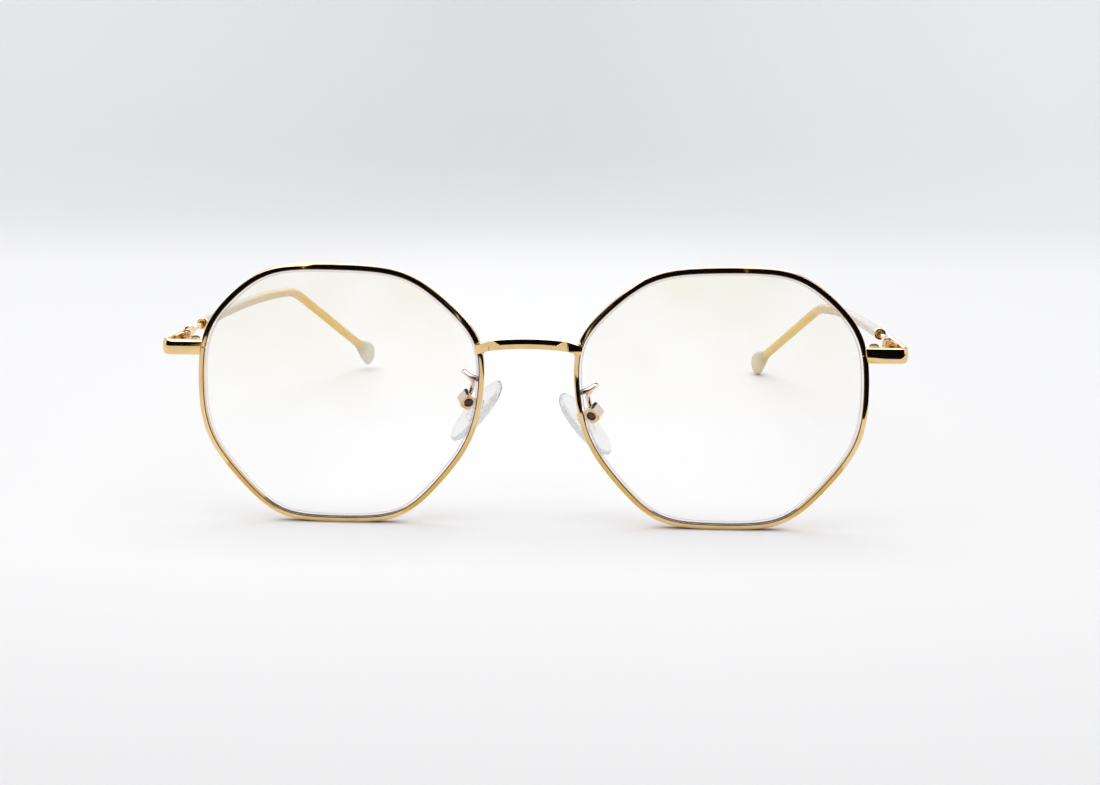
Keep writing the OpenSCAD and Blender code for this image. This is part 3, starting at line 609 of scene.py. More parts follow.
def bridge_rings(shape, s):
    """An arched bar with slanted, stepped-back ends: at each station along X the section
    is six corners. A facet is milled along the upper front, and its lower edge follows
    the arch and then runs out upwards at both ends. A fine nick marks both folds."""
    height = to_mm(s.bridge_height)
    end_t, end_w, arch, cut, slant, trim = 1.1, 2.45, 0.45, 0.3, 0.25, 0.1
    nose = shape.angle_at(BRIDGE_RISE - BRIDGE_DROP - height, *NOSE_ARC)
    end_x = shape.centre[0] + shape.across(nose)[0] + BRIDGE_LAP
    back_y = float(shape.depth_at(shape.across(nose))) - shape.depth / 2 - 0.02
    fold_x = end_x - end_w
    tip_x = end_x + slant
    top = shape.centre[1] + BRIDGE_RISE
    y_front = back_y - end_t - BRIDGE_FORWARD
    y_back = y_front + BRIDGE_THICK
    arch_r = (fold_x**2 + arch**2) / (2 * arch)
    ends = np.linspace(0, 1, 25)[1:]
    middle = fold_x * np.sin(np.linspace(-np.pi / 2, np.pi / 2, 141))
    count = len(ends)
    w = np.concatenate([-ends[::-1], np.zeros(len(middle)), ends])
    x_mid = np.concatenate([np.full(count, -fold_x), middle, np.full(count, fold_x)])
    part = np.abs(w)
    side = np.sign(x_mid)
    x_top = x_mid + side * part * (tip_x - fold_x)
    x_low = x_mid + side * part * (end_x - fold_x)
    bow = np.sqrt(arch_r**2 - x_mid**2) - arch_r
    z_top = top + bow - part * BRIDGE_DROP
    z_low = top - height + bow - part * (BRIDGE_DROP - trim)
    off = np.abs(x_low) - fold_x
    nick = 0.05 * np.exp(-((off / 0.06) ** 2))
    front = y_front + part * BRIDGE_FORWARD + nick
    rear = y_back + part * (back_y - y_back)
    reach, run_out = fold_x - 0.6, 1.5
    half = height / 2
    k = np.clip((np.abs(x_mid) - (reach - run_out)) / run_out, 0, 1)
    fold_z = z_top - half * (1 - k)
    corners = np.stack(
        [
            np.stack([rear, z_low], -1), np.stack([front, z_low], -1), np.stack([front, fold_z - 0.01], -1),
            np.stack([front + cut * k, fold_z], -1), np.stack([front + cut, z_top], -1),
            np.stack([rear, z_top], -1),
        ],
        1,
    )
    section = soft_corners(corners, np.array([0.12, 0.08, 0.015, 0.015, 0.07, 0.14]), 5)
    level = (section[..., 1] - z_low[:, None]) / (z_top - z_low)[:, None]
    x = x_low[:, None] + level * (x_top - x_low)[:, None]
    rings = np.stack([x, section[..., 0], section[..., 1]], -1)
    mid = rings.mean(1, keepdims=True)

    def soft_end(ring, centre, sign):
        """Three rings that round an end off: smaller and further out by a quarter circle."""
        turn = np.radians([30, 60, 85])[:, None, None]
        small = centre + (ring - centre) * (1 - 0.14 * (1 - np.cos(turn)))
        return small + np.sin(turn) * np.array([sign * 0.12, 0, 0])

    first = soft_end(rings[0], mid[0], -1)[::-1]
    last = soft_end(rings[-1], mid[-1], 1)
    return np.concatenate([first, rings, last])


def bead_rings(centre, half):
    """A bead of solder: a ball stretched to its three half sizes, ring by ring upwards."""
    rise = np.linspace(-86, 86, 15)[:, None]
    k = full_turn(28)
    level = turn_cos(rise)
    ring = [half[0] * level * turn_cos(k), half[1] * level * turn_sin(k), half[2] * turn_sin(rise) + 0 * k]
    return np.array(centre) + np.stack(ring, -1)


def crown_section(thick, tall, crown, soft):
    """Section of a crowned strip, (out, up): an outside that is an arc through the middle
    and both edges, a flat inside, and four corners rounded by circles inside them."""
    radius = (tall**2 / 4 + crown**2) / (2 * crown)
    level = tall / 2 - soft
    lean = float(np.degrees(np.arcsin(level / (radius - soft))))
    outer = thick / 2 - radius + np.sqrt((radius - soft) ** 2 - level**2)
    inner = soft - thick / 2

    def arc(out, up, size, start, end, count):
        turn = np.linspace(start, end, count)
        return np.stack([out + size * turn_cos(turn), up + size * turn_sin(turn)], -1)

    return np.concatenate(
        [
            arc(thick / 2 - radius, 0, radius, -lean, lean, 21), arc(outer, level, soft, lean, 90, 9)[1:],
            arc(inner, level, soft, 90, 180, 8), arc(inner, -level, soft, 180, 270, 8),
            arc(outer, -level, soft, 270, 360 - lean, 9)[:-1],
        ]
    )


END_T, END_H, END_CROWN, CORNER_R, LEAN, SIDE_LEN = 1.1, 3.0, 0.3, 1.9, 4.5, 7.0
END_RISE, END_OUT, END_ROUND, FOLD_GAP, BUTT_LEN, TAPER_LEN = 8.95, 7.7, 0.35, 0.2, 4.7, 4.8
HINGE_BACK = np.array([-turn_sin(LEAN), turn_cos(LEAN), 0.0])
HINGE_OUT = np.array([turn_cos(LEAN), turn_sin(LEAN), 0.0])


def corner_of(shape):
    """Centre of the turn of an end piece, the height of its middle and the rim's side."""
    split = shape.angle_at(END_RISE, 0, 60)
    line = shape.across(split)
    side_x = shape.centre[0] + line[0] + shape.rim_t / 2
    front = float(shape.depth_at(line)) - shape.depth / 2 - 0.1
    middle = [side_x + END_OUT - CORNER_R, front + CORNER_R]
    return split, np.array(middle), shape.centre[1] + END_RISE, side_x, front


def end_piece_rings(shape):
    """A crowned strip that starts on the rim's side, runs out along X, turns back round a
    corner through a right angle and the lean, and runs on to the hinge."""
    _, middle, end_z, _, front = corner_of(shape)
    section = crown_section(END_T, END_H, END_CROWN, END_ROUND)
    out, up = section[:, 0], section[:, 1]
    heights = END_RISE + up
    angles = np.linspace(-20, 75, 2000)
    line = shape.across(angles) + (shape.rim_t / 2 - 0.12) * shape.outward(angles)
    order = np.argsort(line[:, 1])
    start_x = shape.centre[0] + np.interp(heights, line[order, 1], line[order, 0])
    along = np.linspace(0, 1, 12)[:, None]
    x = start_x + along * (middle[0] - start_x)
    y = np.broadcast_to(front + END_T / 2 - out, x.shape)
    straight = np.stack([x, y, np.broadcast_to(end_z + up, x.shape)], -1)
    turn = np.linspace(-90, LEAN, 34)[1:, None]
    reach = CORNER_R - END_T / 2 + out
    rise = np.broadcast_to(end_z + up, (len(turn), len(up)))
    bend = np.stack([middle[0] + reach * turn_cos(turn), middle[1] + reach * turn_sin(turn), rise], -1)
    run = np.linspace(0, SIDE_LEN, 12)[1:, None, None]
    side = bend[-1] + run * HINGE_BACK
    centre = side[-1].mean(0)
    soft = np.array([0.97, 0.92])[:, None, None]
    ends = centre + (side[-1] - centre) * soft
    return np.concatenate([straight, bend, side, ends])


SHAFT, BEND, TIP_LEN, SHAFT_IN, TIP_IN, DROOP = 84.0, 10.0, 52.0, 1.9, 12.5, 10.3
RING_AT, RING_LEN, HOOF_LEN, WIRE_SHORT, CAP_LEN, HEEL = 14.1, 0.9, 12.2, 9.0, 1.8, 0.35
RING_D, RING_HOLE = 2.35, 1.4
SLOPE = {"left": -0.5, "right": -2.4}
TIP = {"left": 25.0835, "right": 26.7651}


class Temple:
    """The bent line of one temple: its slope falls evenly along the shaft and then faster
    round the ear bend, and its inward angle does the same."""

    def __init__(self, shape, side):
        _, middle, end_z, _, _ = corner_of(shape)
        self.slope, self.tip = SLOPE[side], TIP[side]
        self.length = SHAFT + BEND + TIP_LEN
        butt = CORNER_R - END_T / 2
        back = SIDE_LEN + FOLD_GAP / 2
        start = [
            middle[0] + butt * turn_cos(LEAN) - back * turn_sin(LEAN),
            middle[1] + butt * turn_sin(LEAN) + back * turn_cos(LEAN),
            end_z,
        ]
        n = 1460
        step = self.length / n
        mid = (np.arange(n) + 0.5) * step
        self.s = np.arange(n + 1) * step
        run = np.cumsum(self.along(mid) * step, 0)
        self.line = np.array(start) + np.concatenate([np.zeros((1, 3)), run])

    def along(self, s):
        """Direction at distance s."""
        before = self.slope + DROOP
        turn = np.clip((s - SHAFT) / BEND, 0, 1)
        p = np.where(s < SHAFT, self.slope + DROOP * s / SHAFT, before + (self.tip - before) * turn)
        q = LEAN + (SHAFT_IN - LEAN) * np.clip(s / SHAFT, 0, 1) + (TIP_IN - SHAFT_IN) * turn
        return np.stack([-turn_sin(q) * turn_cos(p), turn_cos(q) * turn_cos(p), -turn_sin(p)], -1)

    def rings(self, s, across, up, drop=None, sides=28, section=None):
        """Rings round the line at distances s, with half sizes across and up, or with a
        section's own points (out, up)."""
        s = np.asarray(s, float)
        t = self.along(s)
        v = unit(UP - t * t[:, 2:3])
        u = np.cross(v, t)
        centre = np.stack([np.interp(s, self.s, self.line[:, k]) for k in range(3)], -1)
        if drop is not None:
            centre = centre - drop[:, None] * v
        if section is None:
            k = full_turn(sides)
            section = np.stack([across[:, None] * turn_cos(k), up[:, None] * turn_sin(k)], -1)
        return centre[:, None] + u[:, None] * -section[..., :1] + v[:, None] * section[..., 1:]


def smooth(k):
    """Rises from 0 to 1 with flat ends."""
    k = np.clip(k, 0, 1)
    return k * k * (3 - 2 * k)


def temple_wire_rings(temple, wire_d):
    """The crowned strip of the hinge end, which melts into a round wire: each ring is the
    strip's section mixed with a circle by how far the taper has gone."""
    strip = crown_section(END_T, END_H, END_CROWN, END_ROUND)
    angle = np.degrees(np.arctan2(strip[:, 1] / END_H, strip[:, 0] / END_T))
    circle = wire_d / 2 * np.stack([turn_cos(angle), turn_sin(angle)], -1)
    end = temple.length - WIRE_SHORT
    s = np.concatenate(
        [
            [FOLD_GAP / 2, FOLD_GAP / 2 + 0.05], np.linspace(0.5, BUTT_LEN, 8),
            np.linspace(BUTT_LEN, BUTT_LEN + TAPER_LEN, 25)[1:],
            np.linspace(BUTT_LEN + TAPER_LEN, SHAFT, 50)[1:],
            np.linspace(SHAFT, SHAFT + BEND, 25)[1:], np.linspace(SHAFT + BEND, end, 30)[1:],
        ]
    )
    mix = smooth((s - BUTT_LEN) / TAPER_LEN)[:, None, None]
    section = strip * (1 - mix) + circle * mix
    section[0] *= 0.94
    rings = temple.rings(s, None, None, section=section)
    flat = s < BUTT_LEN + 0.01
    straight = (
        temple.line[0] + s[flat][:, None, None] * HINGE_BACK
        + HINGE_OUT * section[flat][..., :1] + UP * section[flat][..., 1:]
    )
    settle = smooth((s[flat] / BUTT_LEN - 0.5) * 2)[:, None, None]
    rings[flat] = straight * (1 - settle) + rings[flat] * settle
    return rings, run_of(s / temple.length, rings)


def sleeve_rings(temple, sleeve_d, hoof_w, hoof_t):
    """A round tube that swells to a hoof: both half sizes grow by a smooth flare over the
    last millimetres, the middle sinks with it, and a quarter ellipse closes the end."""
    first = RING_AT + RING_LEN + 0.02
    hoof = [np.linspace(HOOF_LEN, CAP_LEN, 26), CAP_LEN * turn_cos(np.linspace(4, 86, 16))]
    tail = temple.length - np.concatenate(hoof)
    s = np.concatenate(
        [
            [first, first + 0.08], np.linspace(first + 0.2, SHAFT, 60),
            np.linspace(SHAFT, SHAFT + BEND, 25)[1:],
            np.linspace(SHAFT + BEND, temple.length - HOOF_LEN, 30)[1:-1], tail,
        ]
    )
    e = temple.length - s
    flare = smooth((HOOF_LEN - e) / (HOOF_LEN - CAP_LEN))
    cap = np.sqrt(np.clip(1 - (np.maximum(0, CAP_LEN - e) / CAP_LEN) ** 2, 0.0001, 1))
    cap[0] = 0.93
    up = (sleeve_d + (hoof_w - sleeve_d) * flare) / 2 * cap
    across = (sleeve_d + (hoof_t - sleeve_d) * flare) / 2 * cap
    rings = temple.rings(s, across, up, HEEL * flare)
    return rings, run_of(s / temple.length, rings)


def tube_wall_rings(temple, ring_d, hole_d):
    """A short tube with rounded rims: a closed loop of distance and radius turned round
    the wire."""
    half = np.array([[0, hole_d / 2], [0, ring_d / 2], [RING_LEN, ring_d / 2], [RING_LEN, hole_d / 2]])
    loop = soft_corners(half, np.full(4, 0.12), 6)
    s = RING_AT + loop[:, 0]
    t = temple.along(np.array([RING_AT]))[0]
    start = np.array([np.interp(RING_AT, temple.s, temple.line[:, k]) for k in range(3)])
    v = unit(UP - t * t[2])
    u = np.cross(v, t)
    k = full_turn(48)
    spoke = u * turn_cos(k)[:, None] + v * turn_sin(k)[:, None]
    centre = start + (s - RING_AT)[:, None] * t
    return centre[:, None] + loop[:, 1][:, None, None] * spoke


PAD_TILT, PAD_SPLAY, BOX_X, BOX_Y, BOX_DROP = 40.0, 25.0, 12.3, 4.4, 2.7
PAD_BULGE, PAD_BACK = 1.5, 1.0
PAD_LIFT = {"left": -1.15, "right": 1.15}
TAB_REACH, SCREW_UP, BOX_H = 3.2, 0.9, 3.0


def pad_turn(p):
    """Turns a pad's own axes (away from the nose, along its screw, along the pad) into the
    frame's: first by the splay about the pad's length, then by the tilt about Y."""
    p = np.asarray(p, float)
    x1 = p[..., 0] * turn_cos(PAD_SPLAY) + p[..., 1] * turn_sin(PAD_SPLAY)
    y1 = -p[..., 0] * turn_sin(PAD_SPLAY) + p[..., 1] * turn_cos(PAD_SPLAY)
    z1 = p[..., 2]
    x2 = x1 * turn_cos(PAD_TILT) - z1 * turn_sin(PAD_TILT)
    z2 = x1 * turn_sin(PAD_TILT) + z1 * turn_cos(PAD_TILT)
    return np.stack([x2, y1, z2], -1)


def pad_rings(shape, side, length, width, bulge, back):
    """An oval cushion: rings of one squared oval whose share of the full size follows a
    quarter circle on the nose side and a flatter one on the box side."""
    box_z = shape.centre[1] - BOX_DROP
    at = np.array([BOX_X, BOX_Y, box_z + PAD_LIFT[side]]) - pad_turn([TAB_REACH, 0, SCREW_UP])
    k = full_turn(72)
    c, q = turn_cos(k), turn_sin(k)
    across, along = (np.sign(v) * np.abs(v) ** 0.92 for v in (c, q))
    oval = np.stack([width / 2 * across, length / 2 * along], -1)
    turn = np.linspace(-88, 88, 37)
    share = np.where(turn < 0, turn_cos(turn) ** 0.75, turn_cos(turn) ** 0.6)
    deep = np.where(turn < 0, bulge * turn_sin(turn), back * turn_sin(turn))
    depth = np.broadcast_to(deep[:, None, None], (len(deep), len(k), 1))
    local = np.concatenate([depth, share[:, None, None] * oval], -1)
    return at + pad_turn(local)


def smooth_line(control, steps):
    """Curve through all control points but the first and last, each stretch a cubic whose
    end slopes are half the step between its neighbours."""
    a, b, c, d = control[:-3], control[1:-2], control[2:-1], control[3:]
    t = np.linspace(0, 1, steps, endpoint=False)[:, None]
    a, b, c, d = (p[:, None] for p in (a, b, c, d))
    line = 0.5 * (2 * b + (c - a) * t + (2 * a - 5 * b + 4 * c - d) * t**2 + (3 * b - a - 3 * c + d) * t**3)
    return np.concatenate([line.reshape(-1, 3), control[-2:-1]])


def wire_rings(line, radius, sides=22):
    """A round wire along a line. Its cross axes stay square to the line and to one fixed
    direction."""
    t = unit(np.gradient(line, axis=0))
    v = unit(np.cross(np.array([1, 0, 0.3]), t))
    u = np.cross(v, t)
    k = full_turn(sides)
    radius = np.broadcast_to(radius, len(line))[:, None, None]
    return line[:, None] + radius * (u[:, None] * turn_cos(k)[:, None] + v[:, None] * turn_sin(k)[:, None])


def pad_arm_line(shape, side):
    """Route of a pad arm: off the back of the rim, up round a knee and down to the box."""
    box = np.array([BOX_X, BOX_Y, shape.centre[1] - BOX_DROP + PAD_LIFT[side]])
    angle = shape.angle_at(box[2] + 4.5 - shape.centre[1], *NOSE_ARC)
    foot = shape.point(np.array(angle), np.array(-0.2), shape.depth / 2 + 0.04)
    rise = pad_turn([0, 0, 1])
    top = box + pad_turn([0.45, 0, BOX_H / 2 + 0.02])
    bends = [
        [-0.85, -2.3, 5.15], [0.13, -1.7, 5.72], [0.46, -1, 5.72], [0.19, -0.3, 5.42],
        [-0.6, 0, 4.5], [-1.15, 0, 3.6], [-1, 0, 2.5],
    ]
    control = np.concatenate([[foot - [0.9, 1.2, 0.3], foot], box + np.array(bends), [top, top - rise]])
    return smooth_line(control, 14)


def length_property(name, description, default):
    """A length whose default is given in millimetres."""
    return bpy.props.FloatProperty(
        name=name, description=description, default=default * MM, unit="LENGTH", precision=5
    )


def colour_property(name, description, default):
    """A colour."""
    return bpy.props.FloatVectorProperty(
        name=name, description=description, default=default, subtype="COLOR", min=0, max=1
    )


def share_property(name, description, default):
    """A share from 0 to 1."""
    return bpy.props.FloatProperty(
        name=name, description=description, default=default, min=0, max=1, subtype="FACTOR"
    )


class EyeglassSizes(bpy.types.PropertyGroup):
    """Sizes of the drawn pieces."""

    lens_width: length_property("Lens width", "Width of a lens at its bevelled edge", LENS_W)
    lens_height: length_property("Lens height", "Height of a lens at its bevelled edge", LENS_H)
    nose_gap: length_property("Nose gap", "Gap between the two lenses", NOSE_GAP)
    lens_thickness: length_property("Lens thickness", "Thickness of a lens", LENS_T)
    rim_thickness: length_property("Rim thickness", "Thickness of the rim wire seen from the front", RIM_T)
    lip_width: length_property("Lip width", "Width of the metal beside the lens groove", LIP_W)
    rim_crown: length_property("Rim crown", "How far the rim's front falls back towards its outside", 0.205)
    bridge_height: length_property("Bridge height", "Height of the bridge bar", 1.85)
    wire_diameter: length_property("Wire diameter", "Diameter of the temple wire", 1.0)
    arm_diameter: length_property("Pad arm diameter", "Diameter of the pad arm's wire", 1.05)
    sleeve_diameter: length_property("Sleeve diameter", "Diameter of the milky sleeve", 2.2)
    hoof_height: length_property("Tip height", "Height of the flared tip", 6.2)
    hoof_thickness: length_property("Tip thickness", "Thickness of the flared tip", 3.2)
    pad_length: length_property("Pad length", "Length of a nose pad", 15.0)
    pad_width: length_property("Pad width", "Width of a nose pad", 7.0)


class EyeglassFinish(bpy.types.PropertyGroup):
    """Colours and surface finish."""

    gold_colour: colour_property("Gold", "Colour of the plated metal", (0.88, 0.62, 0.3))
    screw_colour: colour_property("Screws", "Colour of the screws", (0.16, 0.09, 0.12))
    # Tint of the painted warm reflection near the top of a lens.
    reflection_tint: colour_property(
        "Lens coating", "Tint of the coating near the top of a lens", (0.94, 0.915, 0.805)
    )
    silicone_colour: colour_property("Silicone", "Colour of the nose pads", (0.9, 0.9, 0.89))
    sleeve_colour: colour_property("Sleeves", "Colour of the milky sleeves", (0.9, 0.86, 0.76))
    polish: share_property("Polish", "Roughness of the polished metal", 0.045)
    wear: share_property("Wear", "Share of paler rubbed spots", 0.35)


class EyeglassStage(bpy.types.PropertyGroup):
    """Table, light and camera."""

    lens_mm: bpy.props.FloatProperty(
        name="Focal length", description="Focal length of the camera in millimetres", default=53.81
    )
    shift: bpy.props.FloatProperty(
        name="Shift", description="Sideways shift of the camera", default=0.0393, precision=4
    )
    table_colour: colour_property("Table", "Colour of the table", (0.93, 0.93, 0.94))
    wall_colour: colour_property("Backdrop", "Colour of the backdrop", (0.76, 0.765, 0.78))
    sky: bpy.props.FloatProperty(
        name="Surround", description="Strength of the even surrounding light", default=0.8, min=0
    )
    softbox: bpy.props.FloatProperty(
        name="Softbox", description="Power of the softbox above", default=3.0, min=0, subtype="POWER"
    )


class EYE_OT_rims(bpy.types.Operator):
    """Make both grooved rims"""

    bl_idname = "eyeglass.rims"
    bl_label = "Rims"

    def execute(self, context):
        shape = shape_of(context)
        split = corner_of(shape)[0]
        slot = float(np.degrees(np.arcsin(HALF_SLOT / np.linalg.norm(shape.across(split)))))
        crown = to_mm(context.scene.eyeglass_sizes.rim_crown)
        rings, seat = rim_rings(shape, split, slot, crown, RIM_EDGE)
        gold = finish_of(context, "gold_rim")
        for side in SIDES:
            add_piece(side, "rim_wire", skin(rings), "front", gold, 60, "rim", seat)
        return {"FINISHED"}


class EYE_OT_lenses(bpy.types.Operator):
    """Make both clear lenses"""

    bl_idname = "eyeglass.lenses"
    bl_label = "Lenses"

    def execute(self, context):
        shape = shape_of(context)
        rings, run = lens_rings(shape, corner_of(shape)[0])
        clear = finish_of(context, "lens_clear")
        for side in SIDES:
            lens = add_piece(side, "clear_lens", skin(rings), "front", clear, 30, "lens", run)
            lens.visible_glossy = False
        return {"FINISHED"}


class EYE_OT_bridge(bpy.types.Operator):
    """Make the bridge bar"""

    bl_idname = "eyeglass.bridge"
    bl_label = "Bridge"

    def execute(self, context):
        surface = skin(bridge_rings(shape_of(context), context.scene.eyeglass_sizes))
        gold = finish_of(context, "gold_metal")
        add_piece(None, "bridge_bar", surface, "front", gold, 28, "bridge")
        return {"FINISHED"}


class EYE_OT_end_pieces(bpy.types.Operator):
    """Make both crowned end pieces"""

    bl_idname = "eyeglass.end_pieces"
    bl_label = "End pieces"

    def execute(self, context):
        surface = skin(end_piece_rings(shape_of(context)))
        gold = finish_of(context, "gold_metal")
        for side in SIDES:
            add_piece(side, "end_strip", surface, "front", gold, 40, "end_piece")
        return {"FINISHED"}


class EYE_OT_solder(bpy.types.Operator):
    """Make the solder beads under the bridge and the end pieces"""

    bl_idname = "eyeglass.solder"
    bl_label = "Solder beads"

    def execute(self, context):
        shape = shape_of(context)
        _, _, end_z, side_x, front = corner_of(shape)
        height = to_mm(context.scene.eyeglass_sizes.bridge_height)
        nose_z = shape.centre[1] + BRIDGE_RISE - BRIDGE_DROP - height - 0.25
        line = shape.across(shape.angle_at(nose_z - shape.centre[1], *NOSE_ARC))
        nose = [shape.centre[0] + line[0] - 0.5, float(shape.depth_at(line)) - 0.55, nose_z]
        outer = [side_x - 0.02, front + 0.62, end_z - 1.55]
        gold = finish_of(context, "gold_small")
        beads = {"bridge_solder": (nose, [0.34, 0.36, 0.52]), "end_solder": (outer, [0.3, 0.42, 0.4])}
        for side in SIDES:
            for part, (centre, half) in beads.items():
                add_piece(side, part, skin(bead_rings(centre, half)), "front", gold)
        return {"FINISHED"}


class EYE_OT_small_metal(bpy.types.Operator):
    """Soften the locks, hinges, boxes and screws, and finish the inserts"""

    bl_idname = "eyeglass.small_metal"
    bl_label = "Small parts"

    def execute(self, context):
        small = (  # node, body, slot, finish and width of the soft edge
            ("lock_upper", "front", "gold_metal", "gold_small", 0.08),
            ("lock_lower", "front", "gold_metal", "gold_small", 0.08),
            ("front_hinge", "front", "gold_metal", "gold_small", 0.06),
            ("temple_hinge", "temple", "gold_metal", "gold_small", 0.06),
            ("pad_box", "front", "gold_metal", "gold_pale", 0.3),
            ("lock_screw", "front", "screw_metal", "rosy_screw", 0.04),
            ("hinge_screw", "front", "screw_metal", "rosy_screw", 0.04),
            ("pad_screw", "front", "screw_metal", "screw_metal", 0.04),
        )
        for side in SIDES:
            for part, body, slot, finish, width in small:
                softened_copy(side, part, body, finish_of(context, finish), width)
            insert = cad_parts[f"{side}_pad_insert"]
            insert.data.materials.clear()
            insert.data.materials.append(finish_of(context, "clear_plastic"))
        return {"FINISHED"}


class EYE_OT_pad_arms(bpy.types.Operator):
    """Make both pad arms"""

    bl_idname = "eyeglass.pad_arms"
    bl_label = "Pad arms"

    def execute(self, context):
        shape = shape_of(context)
        radius = to_mm(context.scene.eyeglass_sizes.arm_diameter) / 2
        gold = finish_of(context, "gold_pale")
        for side in SIDES:
            surface = skin(wire_rings(pad_arm_line(shape, side), radius))
            add_piece(side, "arm_wire", surface, "front", gold, 50, "pad_arm")
        return {"FINISHED"}


class EYE_OT_nose_pads(bpy.types.Operator):
    """Make both silicone nose pads"""

    bl_idname = "eyeglass.nose_pads"
    bl_label = "Nose pads"

    def execute(self, context):
        shape = shape_of(context)
        s = context.scene.eyeglass_sizes
        slot = "clear_silicone"
        soft = finish_of(context, slot)
        for side in SIDES:
            rings = pad_rings(shape, side, to_mm(s.pad_length), to_mm(s.pad_width), PAD_BULGE, PAD_BACK)
            add_piece(side, "silicone_pad", skin(rings), "pad", soft, 80, "nose_pad")
        return {"FINISHED"}


class EYE_OT_temples(bpy.types.Operator):
    """Make both temple wires and their rings"""

    bl_idname = "eyeglass.temples"
    bl_label = "Temple wires"

    def execute(self, context):
        shape = shape_of(context)
        s = context.scene.eyeglass_sizes
        core, gold = finish_of(context, "gold_core"), finish_of(context, "gold_metal")
        for side in SIDES:
            temple = Temple(shape, side)
            wire, run = temple_wire_rings(temple, to_mm(s.wire_diameter))
            add_piece(side, "wire", skin(wire), "temple", core, 40, "temple_wire", run)
            ring = skin(tube_wall_rings(temple, RING_D, RING_HOLE), closed=True)
            add_piece(side, "ring", ring, "temple", gold, 50, "sleeve_ring")
        return {"FINISHED"}


class EYE_OT_sleeves(bpy.types.Operator):
    """Make both milky sleeves with their tips"""

    bl_idname = "eyeglass.sleeves"
    bl_label = "Sleeves"

    def execute(self, context):
        shape = shape_of(context)
        s = context.scene.eyeglass_sizes
        slot = "milky_plastic"
        milky = finish_of(context, slot)
        sizes = [to_mm(value) for value in (s.sleeve_diameter, s.hoof_height, s.hoof_thickness)]
        for side in SIDES:
            rings, run = sleeve_rings(Temple(shape, side), *sizes)
            add_piece(side, "milky_sleeve", skin(rings), "temple", milky, 60, "sleeve", run)
        return {"FINISHED"}


def stage_piece(name, points, faces, material):
    """A piece of the stage, in metres."""
    mesh = bpy.data.meshes.new(name)
    mesh.from_pydata(points.tolist(), [], faces.tolist())
    mesh.shade_smooth()
    mesh.materials.append(material)
    piece = bpy.data.objects.new(name, mesh)
    bpy.context.scene.collection.objects.link(piece)
    return piece


def sweep_floor():
    """A table that curves up into a wall: a line of (Y, Z) carried along X."""
    turn = np.linspace(-90, 0, 24)
    cove, far = 0.25, 0.42
    line = np.concatenate(
        [
            np.stack([np.linspace(-2.6, far, 30), np.zeros(30)], -1),
            np.stack([far + cove * turn_cos(turn), cove + cove * turn_sin(turn)], -1)[1:],
            np.stack([np.full(12, far + cove), np.linspace(cove, 1.6, 13)[1:]], -1),
        ]
    )
    x = np.linspace(-2.2, 2.2, 30)
    n, m = len(line), len(x)
    points = np.stack(np.broadcast_arrays(x, line[:, :1], line[:, 1:]), -1).reshape(-1, 3)
    i, j = np.meshgrid(np.arange(n - 1), np.arange(m - 1), indexing="ij")
    k = (i * m + j).ravel()
    return points, np.stack([k, k + 1, k + m + 1, k + m], -1)


def table_material(table, wall):
    """Matt white paper whose tone falls towards the wall, and whose edges fade out. Light and
    shade are painted into its colour: the wall is lighter towards its top and at both
    sides, the table lighter in a band down the middle and darker towards the front, and a
    painted contact shadow lies close to the rims.
    """
    n = Nodes("studio_paper")
    x, y, z = n.position()

    def rise(value, start, end):
        """0 at the start and 1 at the end, in metres."""
        return n.range(value, 0.0, 1.0, start, end)

    def fall(value, start, end):
        """1 at the start and 0 at the end, in metres."""
        return n.range(value, 1.0, 0.0, start, end)

    # Painted light on the wall: lighter towards its top and at both sides than in the middle.
    upper = rise(y, 0.56, 0.67)
    middle, left, right = (
        n.blend(upper, tint(wall, low), tint(wall, high))
        for low, high in ((0.94, 0.98), (1.02, 1.08), (1.07, 1.12))
    )
    back = n.blend(rise(x, -0.02, 0.25), n.blend(fall(x, -0.34, -0.08), middle, left), right)
    # Painted light and shade on the table: lighter in a band down the middle than beside it, darker towards
    # the front.
    beside = n.largest(rise(x, 0.03, 0.11), fall(x, -0.13, -0.05))
    below = n.blend(beside, tint(table, 1.015), tint(table, 0.975))
    front = n.blend(rise(y, -0.2, -0.1), tint(table, 0.87), below)
    # Painted contact shadow: close to the rims the paper is darker; behind them the tips stand on plain
    # paper.
    open_air = n.largest(n.range(n.air(2.5, 4), 0.0, 1.0, 0.1, 0.7), n.range(y, 0.0, 0.85, -0.03, 0.0))
    front = n.blend(open_air, (0.2, 0.13, 0.1), front)
    n.link(n.blend(rise(y, 0.27, 0.53), front, back), n.shader.inputs["Base Color"])
    sides = n.largest(rise(x, 0.7, 1.9), fall(x, -1.9, -0.7))
    ends = n.largest(fall(y, -2.3, -0.8), rise(z, 1.0, 1.5))
    n.link(n.range(n.largest(sides, ends), 1.0, 0.0, 0.0, 1.0), n.shader.inputs["Alpha"])
    n.set(Roughness=0.8, Specular_IOR_Level=0.0)
    return n.material


def card_nodes(name, strength):
    """Nodes of a surface that only glows."""
    n = Nodes(name)
    n.set(Base_Color=(0.0, 0.0, 0.0), Roughness=1.0, Specular_IOR_Level=0.0, Emission_Strength=strength)
    return n


def card_material(name, colour, strength):
    """A plain light or dark card."""
    n = card_nodes(name, strength)
    n.set(Emission_Color=colour)
    return n.material


def glossy_card(name, corners, material):
    """A card that only reflections see."""
    card = stage_piece(name, np.array(corners, float), np.array([[0, 1, 2, 3]]), material)
    for ray in ("camera", "diffuse", "transmission", "volume_scatter", "shadow"):
        setattr(card, f"visible_{ray}", False)


def amber_card_material(name, near, far):
    """A card on the table, warm and dim beside the rims and table-white further out: painted
    shade on the table, for the rims to reflect.
    """
    n = card_nodes(name, 1.0)
    shade = n.blend(n.range(n.position()[1], 0.0, 1.0, -0.13, -0.085), far, near)
    n.link(shade, n.shader.inputs["Emission Color"])
    return n.material


